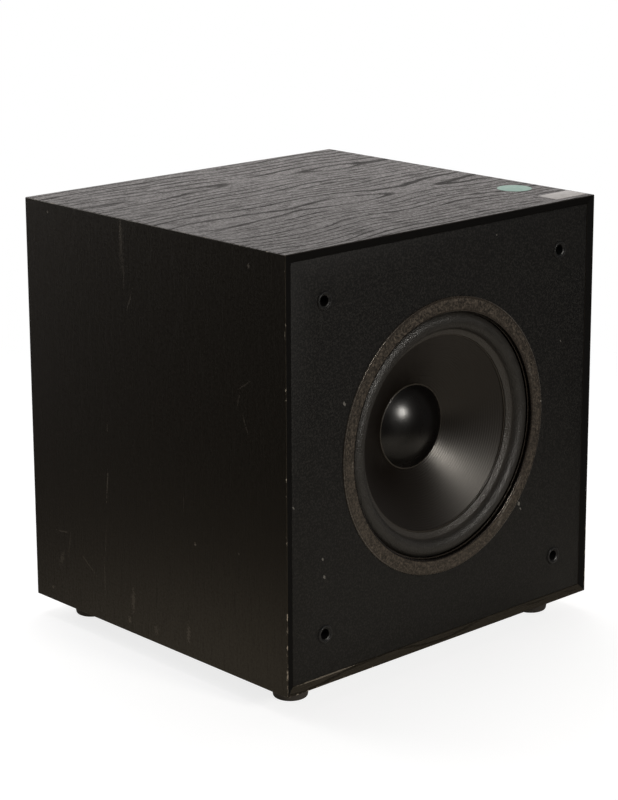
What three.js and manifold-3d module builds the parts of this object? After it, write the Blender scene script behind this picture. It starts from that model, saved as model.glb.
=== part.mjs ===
// A powered subwoofer: a 10-inch driver in a sealed cabinet, with a plate amplifier at the rear.
// Millimetres. +Z is up, +X is to the right of someone facing the driver, and the driver faces -Y.
// The origin is the centre of the object's bounding box, on the floor.

import * as THREE from 'three';
import { mergeVertices } from 'three/addons/utils/BufferGeometryUtils.js';
import Module from 'manifold-3d';

const wasm = await Module();
wasm.setup();

// ---- Driving dimensions ----

const GAP = 0.3;

// Flat sides in a circle, by its size
const LARGE = 44;
const MEDIUM = 24;
const SMALL = 16;

// Cabinet
const CABINET_W = 381;
const CABINET_H = 381;
const CABINET_D = 350.5;
const WALL = 16;
const LIP = 7.6;
const LIP_LAND = 0.8;
const BAFFLE_SETBACK = 1.8;
const BAFFLE_T = 19;
const REAR_PANEL_T = 16;
const BRACE_H = 50;
const BRACE_T = 18;
const BRACE_DEPTH = 205;

// Feet
const FOOT_H = 18.3;
const FOOT_TOP_R = 17.3;
const FOOT_BASE_R = 15.1;
const FOOT_INSET = 36.3;
const FOOT_RECESS_R = 6;
const FOOT_RECESS_H = 9;

// Grille sockets
const SOCKET_X = 145.6;
const SOCKET_Z = 145.3;
const SOCKET_HOLE_R = 4.7;
const SOCKET_TUBE_R = 6;
const SOCKET_FLANGE_R = 8.3;
const SOCKET_DEPTH = 15;

// Driver: radii, and depths behind the cabinet's front edge
const RING_R = 124.8;
const RING_HOLE_R = 111;
const RING_FACE = 0.6;
const RING_BACK = 4.7;
const RING_SKIRT_R = 114.2;
const RING_SKIRT_BACK = 9.9;
const FLANGE_DEPTH = 6;
const BASKET_T = 2;
const BASKET_R = 124.5;
const BASKET_STEP_R = 115.2;
const BASKET_LEDGE_DEPTH = 12.8;
const SHELF_DEPTH = 62;
const BASKET_BACK = 83;
const SURROUND_T = 1.2;
const SURROUND_DEPTH = 10.9;
const ROLL_R = 7.8;
const ROLL_CENTRE_R = 102.2;
const ROLL_SWEEP = 168;
const BAND_OUTER = [93.6, 10.2];
const BAND_INNER = [89.4, 12.8];
const CONE_T = 1.4;
const CONE_RIM_R = 94.3;
const CONE_RIM_DEPTH = 11.6;
const CONE_NECK_R = 26.3;
const CONE_NECK_DEPTH = 53.3;
const CAP_R = 37.2;
const CAP_RIM_DEPTH = 44.4;
const CAP_HEIGHT = 14;
const COIL_R = 25;
const POLE_R = 24.4;
const POLE_VENT_R = 9;
const TOP_PLATE = { inner: 27.3, outer: 60, front: 84.3, back: 92.3 };
const MAGNET = { inner: 34, outer: 62, front: 92.6, back: 112.6 };
const BACK_PLATE = { outer: 60, front: 112.9, back: 120.9 };

// Amplifier: x across, and z above the cabinet's centre
const PLATE_W = 210;
const PLATE_H = 260;
const PLATE_T = 3;
const CUTOUT_W = 186;
const CUTOUT_H = 236;
const GASKET_T = 1.5;
const HEAT_SINK = { w: 150, h: 70, z: 83, base: 4, fin: 18, finT: 1.8, fins: 13 };
const LEVEL = { x: 62, z: 18 };
const CROSSOVER = { x: 18, z: 18 };
const PHASE = { x: -24, z: 18 };
const LED = { x: -60, z: 18 };
const ROCKER = { x: -62, z: -58 };
const INLET = { x: -62, z: -96 };
const JACKS = { x: 60, z: -30 };
const TERMINALS = { x: 40, z: -84 };
const LEVER_PITCH = 16;
const LEVERS = 4;
const KNOB_R = 11;
const KNOB_H = 14;
const ROCKER_TILT = THREE.MathUtils.degToRad(8);
const SCREW_X = 99;
const SCREW_Z = [-124, 0, 124];
const TRANSFORMER = { r: 46, hole: 14, h: 36, depth: 265 };

// ---- Planes that the parts share ----

const PLATE_BACK = GASKET_T + 2 * GAP;
const PLATE_FACE = PLATE_BACK + PLATE_T;
const REAR_REACH = PLATE_FACE + GAP + HEAT_SINK.base + HEAT_SINK.fin;
const FRONT_Y = -(CABINET_D + REAR_REACH) / 2;
const REAR_Y = FRONT_Y + CABINET_D;
const BASE_Z = FOOT_H;
const MID_Z = BASE_Z + CABINET_H / 2;
const FOOT_X = CABINET_W / 2 - FOOT_INSET;
const FOOT_Y = [FRONT_Y + FOOT_INSET, REAR_Y - FOOT_INSET];

// ---- Shape helpers ----

/** A manifold solid from a three.js geometry. */
function solid(geometry) {
  geometry.deleteAttribute('normal');
  geometry.deleteAttribute('uv');
  const merged = mergeVertices(geometry, 1e-4);
  const index = Array.from(merged.index.array);
  const triangles = [];
  for (let i = 0; i < index.length; i += 3) {
    const [a, b, c] = index.slice(i, i + 3);
    if (a !== b && b !== c && c !== a) triangles.push(a, b, c);
  }
  const build = (corners) => new wasm.Manifold(
    new wasm.Mesh({
      numProp: 3,
      vertProperties: new Float32Array(merged.attributes.position.array),
      triVerts: new Uint32Array(corners),
    }),
  );
  const body = build(triangles);
  return body.volume() > 0 ? body : build(triangles.reverse());
}

/** A box between two corners. */
function box([x0, y0, z0], [x1, y1, z1]) {
  const geometry = new THREE.BoxGeometry(x1 - x0, y1 - y0, z1 - z0);
  geometry.translate((x0 + x1) / 2, (y0 + y1) / 2, (z0 + z1) / 2);
  return solid(geometry);
}

/** A box centred on (x, z), from y0 to y1. */
function block(x, z, w, h, y0, y1) {
  return box([x - w / 2, y0, z - h / 2], [x + w / 2, y1, z + h / 2]);
}

/** A profile of [radius, y] points turned about the line along Y through (x, z). */
function turned(profile, segments, x = 0, z = MID_Z) {
  const points = profile.map(([r, y]) => new THREE.Vector2(r, y));
  const geometry = new THREE.LatheGeometry(points, segments);
  geometry.translate(x, 0, z);
  return solid(geometry);
}

/** A profile of [radius, z] points turned about the line along Z through (x, y). */
function turnedUp(profile, segments, x, y) {
  const points = profile.map(([r, z]) => new THREE.Vector2(r, z));
  const geometry = new THREE.LatheGeometry(points, segments);
  geometry.rotateX(Math.PI / 2);
  geometry.translate(x, y, 0);
  return solid(geometry);
}

/** A rod along Y through (x, z), from y0 to y1. */
function rod(x, z, r, y0, y1, segments = SMALL) {
  return turned([[0, y0], [r, y0], [r, y1], [0, y1]], segments, x, z);
}

/** A ring about the driver's axis, between two depths behind the front edge. */
function ring(inner, outer, front, back, segments = MEDIUM) {
  const [y0, y1] = [FRONT_Y + front, FRONT_Y + back];
  return turned([[inner, y0], [outer, y0], [outer, y1], [inner, y1], [inner, y0]], segments);
}

/** An outline of [x, z] points extruded along Y, from y0 to y1. */
function prism(outline, y0, y1) {
  const shape = new THREE.Shape(outline.map(([x, z]) => new THREE.Vector2(x, z)));
  const geometry = new THREE.ExtrudeGeometry(shape, { depth: y1 - y0, bevelEnabled: false });
  geometry.rotateX(Math.PI / 2);
  geometry.translate(0, y1, 0);
  return solid(geometry);
}

/** An outline of [y, z] points extruded along X, from x0 to x1. */
function prismAcross(outline, x0, x1) {
  const shape = new THREE.Shape(outline.map(([y, z]) => new THREE.Vector2(y, z)));
  const geometry = new THREE.ExtrudeGeometry(shape, { depth: x1 - x0, bevelEnabled: false });
  geometry.rotateX(Math.PI / 2);
  geometry.rotateZ(Math.PI / 2);
  geometry.translate(x0, 0, 0);
  return solid(geometry);
}

/** A rectangle's outline with its corners cut off, centred on (x, z). */
function cutCornerOutline(x, z, w, h, cut) {
  const [a, b] = [w / 2, h / 2];
  return [
    [x - a + cut, z - b], [x + a - cut, z - b], [x + a, z - b + cut], [x + a, z + b - cut],
    [x + a - cut, z + b], [x - a + cut, z + b], [x - a, z + b - cut], [x - a, z - b + cut],
  ];
}

/** The closed outline of a sheet of even thickness whose middle follows the path. */
function sheetProfile(path, thickness) {
  const side = (sign) => path.map(([r, y], i) => {
    const before = path[Math.max(i - 1, 0)];
    const after = path[Math.min(i + 1, path.length - 1)];
    const along = (p, q) => new THREE.Vector2(q[0] - p[0], q[1] - p[1]).normalize();
    const [u, v] = i === 0 ? [along([r, y], after), along([r, y], after)]
      : i === path.length - 1 ? [along(before, [r, y]), along(before, [r, y])]
      : [along(before, [r, y]), along([r, y], after)];
    const mitre = new THREE.Vector2(-(u.y + v.y), u.x + v.x).normalize();
    const reach = (sign * thickness) / 2 / (mitre.x * -u.y + mitre.y * u.x);
    return [r === 0 ? 0 : r + mitre.x * reach, y + mitre.y * reach];
  });
  return [...side(1), ...side(-1).reverse()];
}

/** A turned sheet about the driver's axis: its path is [radius, depth behind the front edge]. */
function turnedSheet(path, thickness, segments) {
  const profile = sheetProfile(path, thickness).map(([r, depth]) => [r, FRONT_Y + depth]);
  if (path[0][0] > 0 && path.at(-1)[0] > 0) profile.push(profile[0]);
  return turned(profile, segments);
}

// ---- Cabinet ----

/** What the walls' bevelled front lip and the rebates for the baffle and rear panel cut away. */
function cabinetCuts() {
  const half = CABINET_W / 2;
  const bevel = new THREE.CylinderGeometry(
    (half - LIP) * Math.SQRT2, (half - LIP_LAND) * Math.SQRT2, BAFFLE_SETBACK, 4,
  );
  bevel.rotateY(Math.PI / 4);
  bevel.translate(0, FRONT_Y + BAFFLE_SETBACK / 2, MID_Z);
  const opening = CABINET_W - 2 * LIP;
  const frontRebate = block(0, MID_Z, opening, opening,
    FRONT_Y + BAFFLE_SETBACK - 0.1, FRONT_Y + BAFFLE_SETBACK + BAFFLE_T + GAP);
  const rearRebate = block(0, MID_Z, opening, opening, REAR_Y - REAR_PANEL_T - GAP, REAR_Y + 1);
  return solid(bevel).add(frontRebate).add(rearRebate);
}

/** One wall with mitred ends, turned about the driver's axis: 0 is the top, and 1 is the left. */
function wall(quarterTurns) {
  const [a, b] = [CABINET_W / 2, CABINET_H / 2];
  const mitre = GAP / Math.SQRT2;
  const outline = [
    [-a + mitre, b], [-a + WALL + mitre, b - WALL], [a - WALL - mitre, b - WALL], [a - mitre, b],
  ];
  const turn = (quarterTurns * Math.PI) / 2;
  const turnedOutline = outline.map(([x, z]) => [
    x * Math.cos(turn) - z * Math.sin(turn),
    MID_Z + x * Math.sin(turn) + z * Math.cos(turn),
  ]);
  return prism(turnedOutline, FRONT_Y, REAR_Y).subtract(cabinetCuts());
}

function bottomPanel() {
  let panel = wall(2);
  for (const [x, y] of footCentres()) {
    panel = panel.subtract(
      turnedUp([[0, BASE_Z - 1], [2.3, BASE_Z - 1], [2.3, BASE_Z + 13], [0, BASE_Z + 13]], 12, x, y),
    );
  }
  return panel;
}

function frontBaffle() {
  const side = CABINET_W - 2 * (LIP + GAP);
  const face = FRONT_Y + BAFFLE_SETBACK;
  let baffle = block(0, MID_Z, side, side, face, face + BAFFLE_T);
  const seat = FRONT_Y + FLANGE_DEPTH + BASKET_T / 2 + GAP;
  const holeR = BASKET_STEP_R + BASKET_T / 2 + 2 * GAP;
  baffle = baffle.subtract(rod(0, MID_Z, holeR, face - 1, face + BAFFLE_T + 1, LARGE));
  baffle = baffle.subtract(rod(0, MID_Z, RING_R + 2 * GAP, face - 1, seat, LARGE));
  for (const [x, z] of socketCentres()) {
    baffle = baffle.subtract(rod(x, z, SOCKET_TUBE_R + GAP, face - 1, face + BAFFLE_T + 1));
  }
  return baffle;
}

function rearPanel() {
  const side = CABINET_W - 2 * (LIP + GAP);
  let panel = block(0, MID_Z, side, side, REAR_Y - REAR_PANEL_T, REAR_Y);
  panel = panel.subtract(block(0, MID_Z, CUTOUT_W, CUTOUT_H, REAR_Y - REAR_PANEL_T - 1, REAR_Y + 1));
  for (const [x, z] of plateScrewCentres()) {
    panel = panel.subtract(rod(x, z, 2.2, REAR_Y - 13, REAR_Y + 1, 12));
  }
  return panel;
}

function crossBrace() {
  const span = CABINET_W - 2 * (WALL + GAP);
  const y = FRONT_Y + BRACE_DEPTH;
  return block(0, MID_Z, span, BRACE_H, y, y + BRACE_T);
}

// ---- Feet and grille sockets ----

function footCentres() {
  return FOOT_Y.flatMap((y) => [[-FOOT_X, y], [FOOT_X, y]]);
}

function foot(x, y) {
  const edge = 2.4;
  const top = BASE_Z - GAP;
  const profile = [
    [2.6, FOOT_RECESS_H], [FOOT_RECESS_R, FOOT_RECESS_H], [FOOT_RECESS_R, 0],
    [FOOT_BASE_R - edge, 0], [FOOT_BASE_R, edge],
    [FOOT_TOP_R, top], [2.6, top], [2.6, FOOT_RECESS_H],
  ];
  return turnedUp(profile, 20, x, y);
}

function footScrew(x, y) {
  const seat = FOOT_RECESS_H - GAP;
  const profile = [
    [0, seat - 2.6], [2.6, seat - 2.6], [4.2, seat - 1.4], [4.2, seat],
    [2, seat], [2, BASE_Z + 10], [0, BASE_Z + 12],
  ];
  return turnedUp(profile, 12, x, y);
}

function socketCentres() {
  return [MID_Z + SOCKET_Z, MID_Z - SOCKET_Z].flatMap((z) => [[-SOCKET_X, z], [SOCKET_X, z]]);
}

function grilleSocket(x, z) {
  const seat = FRONT_Y + BAFFLE_SETBACK - GAP;
  const floor = seat + SOCKET_DEPTH;
  const profile = [
    [0, floor], [SOCKET_HOLE_R, floor], [SOCKET_HOLE_R, seat - 0.4], [SOCKET_HOLE_R + 0.6, seat - 1.1],
    [SOCKET_FLANGE_R - 0.9, seat - 1.1], [SOCKET_FLANGE_R, seat - 0.4], [SOCKET_FLANGE_R, seat],
    [SOCKET_TUBE_R, seat], [SOCKET_TUBE_R, floor + 1.5], [0, floor + 1.5],
  ];
  return turned(profile, 20, x, z);
}

// ---- Driver ----

/** The trim ring, with a skirt that reaches back to the surround's outer lip. */
function trimRing() {
  const [y0, y1, y2] = [RING_FACE, RING_BACK, RING_SKIRT_BACK].map((depth) => FRONT_Y + depth);
  const profile = [
    [RING_HOLE_R, y0 + 0.4], [RING_HOLE_R + 0.4, y0], [RING_R - 0.4, y0], [RING_R, y0 + 0.4],
    [RING_R, y1], [RING_SKIRT_R, y1], [RING_SKIRT_R, y2], [RING_HOLE_R, y2], [RING_HOLE_R, y0 + 0.4],
  ];
  return turned(profile, LARGE);
}

/** The pressed basket, with six windows between its legs. */
function basket() {
  const path = [
    [BASKET_R, FLANGE_DEPTH], [BASKET_STEP_R, FLANGE_DEPTH], [BASKET_STEP_R, BASKET_LEDGE_DEPTH],
    [108, BASKET_LEDGE_DEPTH], [68, SHELF_DEPTH], [54, SHELF_DEPTH], [54, BASKET_BACK], [30, BASKET_BACK],
  ];
  let body = turnedSheet(path, BASKET_T, LARGE);
  const windows = 6;
  const halfAngle = THREE.MathUtils.degToRad(21);
  for (let i = 0; i < windows; i += 1) {
    const middle = (i * 2 * Math.PI) / windows;
    const angles = [-1, 0, 1].map((share) => middle + share * halfAngle);
    const arc = (r) => angles.map((a) => [r * Math.cos(a), MID_Z + r * Math.sin(a)]);
    const outline = [...arc(104), ...arc(73).reverse()];
    body = body.subtract(prism(outline, FRONT_Y + 14.5, FRONT_Y + 60));
  }
  return body;
}

/** Outer land, half roll, and the inner band that lies along the cone. */
function surround() {
  const path = [[113.6, SURROUND_DEPTH]];
  const steps = 7;
  for (let i = 0; i <= steps; i += 1) {
    const angle = THREE.MathUtils.degToRad((i / steps) * ROLL_SWEEP);
    path.push([
      ROLL_CENTRE_R + ROLL_R * Math.cos(angle),
      SURROUND_DEPTH - ROLL_R * Math.sin(angle),
    ]);
  }
  path.push(BAND_OUTER, BAND_INNER);
  return turnedSheet(path, SURROUND_T, LARGE);
}

function cone() {
  const path = [[CONE_RIM_R, CONE_RIM_DEPTH], [CONE_NECK_R, CONE_NECK_DEPTH]];
  return turnedSheet(path, CONE_T, LARGE);
}

function dustCap() {
  const domeR = (CAP_R ** 2 + CAP_HEIGHT ** 2) / (2 * CAP_HEIGHT);
  const centre = CAP_RIM_DEPTH - CAP_HEIGHT + domeR;
  const steps = 5;
  const path = [];
  for (let i = 0; i <= steps; i += 1) {
    const r = (CAP_R * i) / steps;
    path.push([r, centre - Math.sqrt(domeR ** 2 - r ** 2)]);
  }
  return turnedSheet(path, 1, MEDIUM);
}

/** The coil's former, with its winding at the back end. */
function voiceCoil() {
  const [front, wound, back] = [51.5, 78, 100].map((depth) => FRONT_Y + depth);
  const profile = [
    [COIL_R, front], [COIL_R + 0.5, front], [COIL_R + 0.5, wound], [COIL_R + 1.6, wound],
    [COIL_R + 1.6, back], [COIL_R, back], [COIL_R, front],
  ];
  return turned(profile, MEDIUM);
}

/** The corrugated centring spider, from the basket's shelf to the coil's former. */
function spider() {
  const depth = SHELF_DEPTH - BASKET_T / 2 - GAP - 0.4;
  const path = [[66, depth], [58, depth]];
  const waves = 3;
  const pitch = (56 - 30) / waves;
  for (let i = 0; i < waves; i += 1) {
    path.push([56 - i * pitch - pitch * 0.25, depth - 2.4]);
    path.push([56 - i * pitch - pitch * 0.75, depth + 1.2]);
  }
  path.push([COIL_R + 3.6, depth - 0.6], [COIL_R + 0.9, depth - 0.6]);
  return turnedSheet(path, 0.8, MEDIUM);
}

function backPlate() {
  const plate = ring(POLE_VENT_R, BACK_PLATE.outer, BACK_PLATE.front, BACK_PLATE.back);
  return plate.add(ring(POLE_VENT_R, POLE_R, TOP_PLATE.front, BACK_PLATE.front + 1));
}

/** The insulated tag strip on the back of the basket's shelf, with two solder tags. */
function terminalStrip() {
  const back = FRONT_Y + SHELF_DEPTH + BASKET_T / 2 + GAP;
  let strip = block(0, MID_Z + 61, 34, 10, back, back + 2.4);
  for (const x of [-11, 11]) {
    strip = strip.add(block(x, MID_Z + 68, 5, 14, back + 0.8, back + 1.6));
  }
  return strip;
}

// ---- Plate amplifier ----

function plateScrewCentres() {
  return SCREW_Z.flatMap((z) => [[-SCREW_X, MID_Z + z], [SCREW_X, MID_Z + z]]);
}

function ampPlate() {
  const [back, face] = [REAR_Y + PLATE_BACK, REAR_Y + PLATE_FACE];
  const [under, over] = [back - 1, face + 1];
  let plate = prism(cutCornerOutline(0, MID_Z, PLATE_W, PLATE_H, 3), back, face);
  const holes = [
    ...plateScrewCentres().map(([x, z]) => rod(x, z, 2.3, under, over, 12)),
    rod(LEVEL.x, MID_Z + LEVEL.z, 4.3, under, over),
    rod(CROSSOVER.x, MID_Z + CROSSOVER.z, 4.3, under, over),
    rod(LED.x, MID_Z + LED.z, 2.8, under, over),
    block(PHASE.x, MID_Z + PHASE.z, 12, 5, under, over),
    block(ROCKER.x, MID_Z + ROCKER.z, 16.6, 24.6, under, over),
    block(INLET.x, MID_Z + INLET.z, 28.2, 20.4, under, over),
    block(JACKS.x, MID_Z + JACKS.z, 30.6, 10.6, under, over),
    block(TERMINALS.x, MID_Z + TERMINALS.z, 64.6, 20.6, under, over),
  ];
  for (const hole of holes) plate = plate.subtract(hole);
  return plate;
}

function ampGasket() {
  const [back, face] = [REAR_Y + GAP, REAR_Y + GAP + GASKET_T];
  let gasket = block(0, MID_Z, PLATE_W - 2, PLATE_H - 2, back, face);
  gasket = gasket.subtract(block(0, MID_Z, CUTOUT_W + 2, CUTOUT_H + 2, back - 1, face + 1));
  for (const [x, z] of plateScrewCentres()) {
    gasket = gasket.subtract(rod(x, z, 2.3, back - 1, face + 1, 12));
  }
  return gasket;
}

function ampScrew(x, z) {
  const seat = REAR_Y + PLATE_FACE + GAP;
  const profile = [
    [0, seat + 2.5], [2.4, seat + 2.3], [3.8, seat + 1.2], [4, seat], [1.9, seat],
    [1.9, REAR_Y - 9], [0, REAR_Y - 12],
  ];
  return turned(profile, 12, x, z);
}

function heatSink() {
  const y = REAR_Y + PLATE_FACE + GAP;
  const { w, h, base, fin, finT, fins } = HEAT_SINK;
  const z = MID_Z + HEAT_SINK.z;
  let sink = block(0, z, w, h, y, y + base);
  for (let i = 0; i < fins; i += 1) {
    const x = -w / 2 + finT / 2 + (i * (w - finT)) / (fins - 1);
    sink = sink.add(block(x, z, finT, h, y + base - 0.5, y + base + fin));
  }
  return sink;
}

/** The pot behind the plate, with its bushing and shaft. */
function pot({ x, z }) {
  const back = REAR_Y + PLATE_BACK - GAP;
  const face = REAR_Y + PLATE_FACE;
  return rod(x, MID_Z + z, 8.5, back - 14, back)
    .add(rod(x, MID_Z + z, 3.9, back - 1, face + 0.6))
    .add(rod(x, MID_Z + z, 3, face, face + 9));
}

/** A fluted knob with a pointer ridge and a bore for the pot's shaft. */
function knob({ x, z }) {
  const back = REAR_Y + PLATE_FACE + 1;
  const front = back + KNOB_H;
  const profile = [
    [0, back], [KNOB_R, back], [KNOB_R - 0.6, front - 1.6], [KNOB_R - 2, front], [0, front],
  ];
  let body = turned(profile, 24, x, MID_Z + z);
  const flutes = 12;
  for (let i = 0; i < flutes; i += 1) {
    const angle = ((i + 0.5) * 2 * Math.PI) / flutes;
    const r = KNOB_R + 0.5;
    body = body.subtract(
      rod(x + r * Math.cos(angle), MID_Z + z + r * Math.sin(angle), 1.3, back + 3, front + 1, 6),
    );
  }
  body = body.subtract(rod(x, MID_Z + z, 3 + GAP, back - 1, back + 8.6));
  return body.add(block(x, MID_Z + z + KNOB_R - 5, 1.6, 7, front - 1, front + 0.8));
}

/** The slide switch behind the plate, with the groove that its slider runs in. */
function phaseSwitch() {
  const back = REAR_Y + PLATE_BACK - GAP;
  const body = block(PHASE.x, MID_Z + PHASE.z, 24, 10, back - 9, back);
  return body.subtract(block(PHASE.x, MID_Z + PHASE.z, 12, 5, back - 4, back + 1));
}

function phaseSlider() {
  const bottom = REAR_Y + PLATE_BACK - 4;
  return block(PHASE.x - 3, MID_Z + PHASE.z, 5, 4.2, bottom, REAR_Y + PLATE_FACE + 3);
}

/** The power switch's frame and housing, with the well that the rocker sits in. */
function powerSwitch() {
  const face = REAR_Y + PLATE_FACE;
  const bezel = prism(cutCornerOutline(ROCKER.x, MID_Z + ROCKER.z, 21, 29, 2), face + GAP, face + 2.4);
  const housing = block(ROCKER.x, MID_Z + ROCKER.z, 16, 24, face - 17, face + 1);
  const well = block(ROCKER.x, MID_Z + ROCKER.z, 12.6, 21.4, face - 9, face + 4);
  return bezel.add(housing).subtract(well);
}

/** The rocker, resting with its top pressed in. Its outline is [out, up] from the pivot. */
function powerRocker() {
  const outline = [
    [4.4, -9.6], [3.2, 0], [4.4, 9.6], [0, 9.4], [-4.6, 4], [-4.6, -4], [0, -9.4],
  ];
  const tilted = outline.map(([out, up]) => [
    REAR_Y + PLATE_FACE + out * Math.cos(ROCKER_TILT) - up * Math.sin(ROCKER_TILT),
    MID_Z + ROCKER.z + out * Math.sin(ROCKER_TILT) + up * Math.cos(ROCKER_TILT),
  ]);
  return prismAcross(tilted, ROCKER.x - 6, ROCKER.x + 6);
}

/** A three-pin mains inlet: flange, body, well and blades. */
function mainsInlet() {
  const face = REAR_Y + PLATE_FACE;
  const front = face + 2.8;
  const [x, z] = [INLET.x, MID_Z + INLET.z];
  const flange = prism(cutCornerOutline(x, z, 33, 25, 3), face + GAP, front);
  const body = block(x, z, 27.6, 19.8, face - 17, face + 1);
  const well = prism([
    [x - 12.2, z - 8.2], [x + 12.2, z - 8.2], [x + 12.2, z + 3.4],
    [x + 7.4, z + 8.2], [x - 7.4, z + 8.2], [x - 12.2, z + 3.4],
  ], front - 17, front + 1);
  let inlet = flange.add(body).subtract(well);
  for (const [dx, dz] of [[-7, -2.2], [7, -2.2], [0, 2.2]]) {
    inlet = inlet.add(block(x + dx, z + dz, 2, 4, front - 18, front - 5.5));
  }
  return inlet;
}

/** A pair of phono sockets on one base. */
function lineJacks() {
  const face = REAR_Y + PLATE_FACE;
  const [x, z] = [JACKS.x, MID_Z + JACKS.z];
  let jacks = prism(cutCornerOutline(x, z, 38, 17, 2), face + GAP, face + 2);
  jacks = jacks.add(block(x, z, 30, 10, face - 12, face + 1));
  for (const dx of [-9, 9]) {
    jacks = jacks.add(rod(x + dx, z, 5.6, face + 1, face + 3.4, 6));
    jacks = jacks.add(rod(x + dx, z, 4.15, face + 3, face + 11));
    jacks = jacks.subtract(rod(x + dx, z, 1.6, face + 3.6, face + 12, 8));
  }
  return jacks;
}

function leverCentres() {
  return Array.from({ length: LEVERS }, (_, i) => TERMINALS.x + (i - (LEVERS - 1) / 2) * LEVER_PITCH);
}

/** The spring-clip block, with a well for each lever and a wire hole under it. */
function speakerTerminals() {
  const face = REAR_Y + PLATE_FACE;
  const [x, z] = [TERMINALS.x, MID_Z + TERMINALS.z];
  let base = prism(cutCornerOutline(x, z, 76, 34, 3), face + GAP, face + 2.4);
  base = base.add(prism(cutCornerOutline(x, z, 68, 28, 1.5), face + 1, face + 11));
  base = base.add(block(x, z, 64, 20, face - 12, face + 1.5));
  for (const leverX of leverCentres()) {
    base = base.subtract(block(leverX, z + 4, 13, 16, face + 2.6, face + 12));
    base = base.subtract(rod(leverX, z - 9, 1.8, face + 4, face + 12, 8));
  }
  return base;
}

/** One lever. Its outline is [out, up] from the plate's face and the well's middle. */
function speakerLever(x) {
  const outline = [
    [7, -7.4], [11.4, -7.4], [12.6, -5.6], [13.4, 4.4], [12.6, 7.2], [8.6, 7.2], [6.2, -5],
  ];
  const face = REAR_Y + PLATE_FACE;
  const middle = MID_Z + TERMINALS.z + 4;
  return prismAcross(outline.map(([out, up]) => [face + out, middle + up]), x - 6.1, x + 6.1);
}

function powerLed() {
  const [under, face] = [REAR_Y + PLATE_BACK, REAR_Y + PLATE_FACE];
  const profile = [
    [0, under - 6], [2.5, under - 6], [2.5, face + 1], [2.1, face + 2.1], [1.2, face + 2.9], [0, face + 3.2],
  ];
  return turned(profile, SMALL, LED.x, MID_Z + LED.z);
}

function ampBoard() {
  const y = REAR_Y - 34;
  return block(0, MID_Z + 53, 170, 118, y, y + 1.6);
}

function filterCapacitor(x) {
  const front = REAR_Y - 34 - GAP;
  const profile = [
    [0, front - 40], [11.5, front - 40], [12.5, front - 39], [12.5, front], [0, front],
  ];
  return turned(profile, 20, x, MID_Z + 70);
}

/** A toroidal transformer, standing on the cabinet's floor. */
function transformer() {
  const { r, hole, h } = TRANSFORMER;
  const low = BASE_Z + WALL + GAP;
  const round = 6;
  const profile = [
    [hole, low + round], [hole + round, low], [r - round, low], [r, low + round],
    [r, low + h - round], [r - round, low + h], [hole + round, low + h], [hole, low + h - round],
    [hole, low + round],
  ];
  return turnedUp(profile, MEDIUM, 0, FRONT_Y + TRANSFORMER.depth);
}

// ---- Materials ----

const MATERIALS = {
  vinyl: { color: 0x25231f, roughness: 0.55, metalness: 0 },
  baffle: { color: 0x1d1c1a, roughness: 0.7, metalness: 0 },
  board: { color: 0x9a7b55, roughness: 0.9, metalness: 0 },
  rubber: { color: 0x202020, roughness: 0.7, metalness: 0 },
  gasket: { color: 0x453c34, roughness: 0.85, metalness: 0 },
  foam: { color: 0x17181a, roughness: 0.95, metalness: 0 },
  cone: { color: 0x1a1715, roughness: 0.35, metalness: 0 },
  cap: { color: 0x0b0b0b, roughness: 0.15, metalness: 0 },
  paintedSteel: { color: 0x18191b, roughness: 0.5, metalness: 0.3 },
  steel: { color: 0x9c9fa3, roughness: 0.4, metalness: 1 },
  ferrite: { color: 0x2e2d2e, roughness: 0.8, metalness: 0 },
  aluminium: { color: 0x2c2d2f, roughness: 0.45, metalness: 0.7 },
  plastic: { color: 0x141414, roughness: 0.5, metalness: 0 },
  redPlastic: { color: 0x8a1515, roughness: 0.45, metalness: 0 },
  lens: { color: 0xb01818, roughness: 0.15, metalness: 0 },
  copper: { color: 0xa8653a, roughness: 0.4, metalness: 0.9 },
  cloth: { color: 0xa98a4a, roughness: 0.95, metalness: 0 },
  circuit: { color: 0x2c5a34, roughness: 0.6, metalness: 0 },
  tape: { color: 0xc7a03a, roughness: 0.5, metalness: 0 },
};

// ---- Assembly ----

const group = new THREE.Group();
group.name = 'subwoofer';

function addNode(name, body, material) {
  const { vertProperties, triVerts } = body.getMesh();
  const geometry = new THREE.BufferGeometry();
  geometry.setAttribute('position', new THREE.BufferAttribute(vertProperties, 3));
  geometry.setIndex(new THREE.BufferAttribute(triVerts, 1));
  geometry.computeVertexNormals();
  const mesh = new THREE.Mesh(geometry, new THREE.MeshStandardMaterial(MATERIALS[material]));
  mesh.name = name;
  group.add(mesh);
}

addNode('top_panel', wall(0), 'vinyl');
addNode('left_side_panel', wall(1), 'vinyl');
addNode('bottom_panel', bottomPanel(), 'vinyl');
addNode('right_side_panel', wall(3), 'vinyl');
addNode('front_baffle', frontBaffle(), 'baffle');
addNode('rear_panel', rearPanel(), 'vinyl');
addNode('cross_brace', crossBrace(), 'board');

const corners = ['front_left', 'front_right', 'rear_left', 'rear_right'];
footCentres().forEach(([x, y], i) => {
  addNode(`foot_${corners[i]}`, foot(x, y), 'rubber');
  addNode(`foot_screw_${corners[i]}`, footScrew(x, y), 'steel');
});

const socketNames = ['upper_left', 'upper_right', 'lower_left', 'lower_right'];
socketCentres().forEach(([x, z], i) => {
  addNode(`grille_socket_${socketNames[i]}`, grilleSocket(x, z), 'plastic');
});

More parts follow.
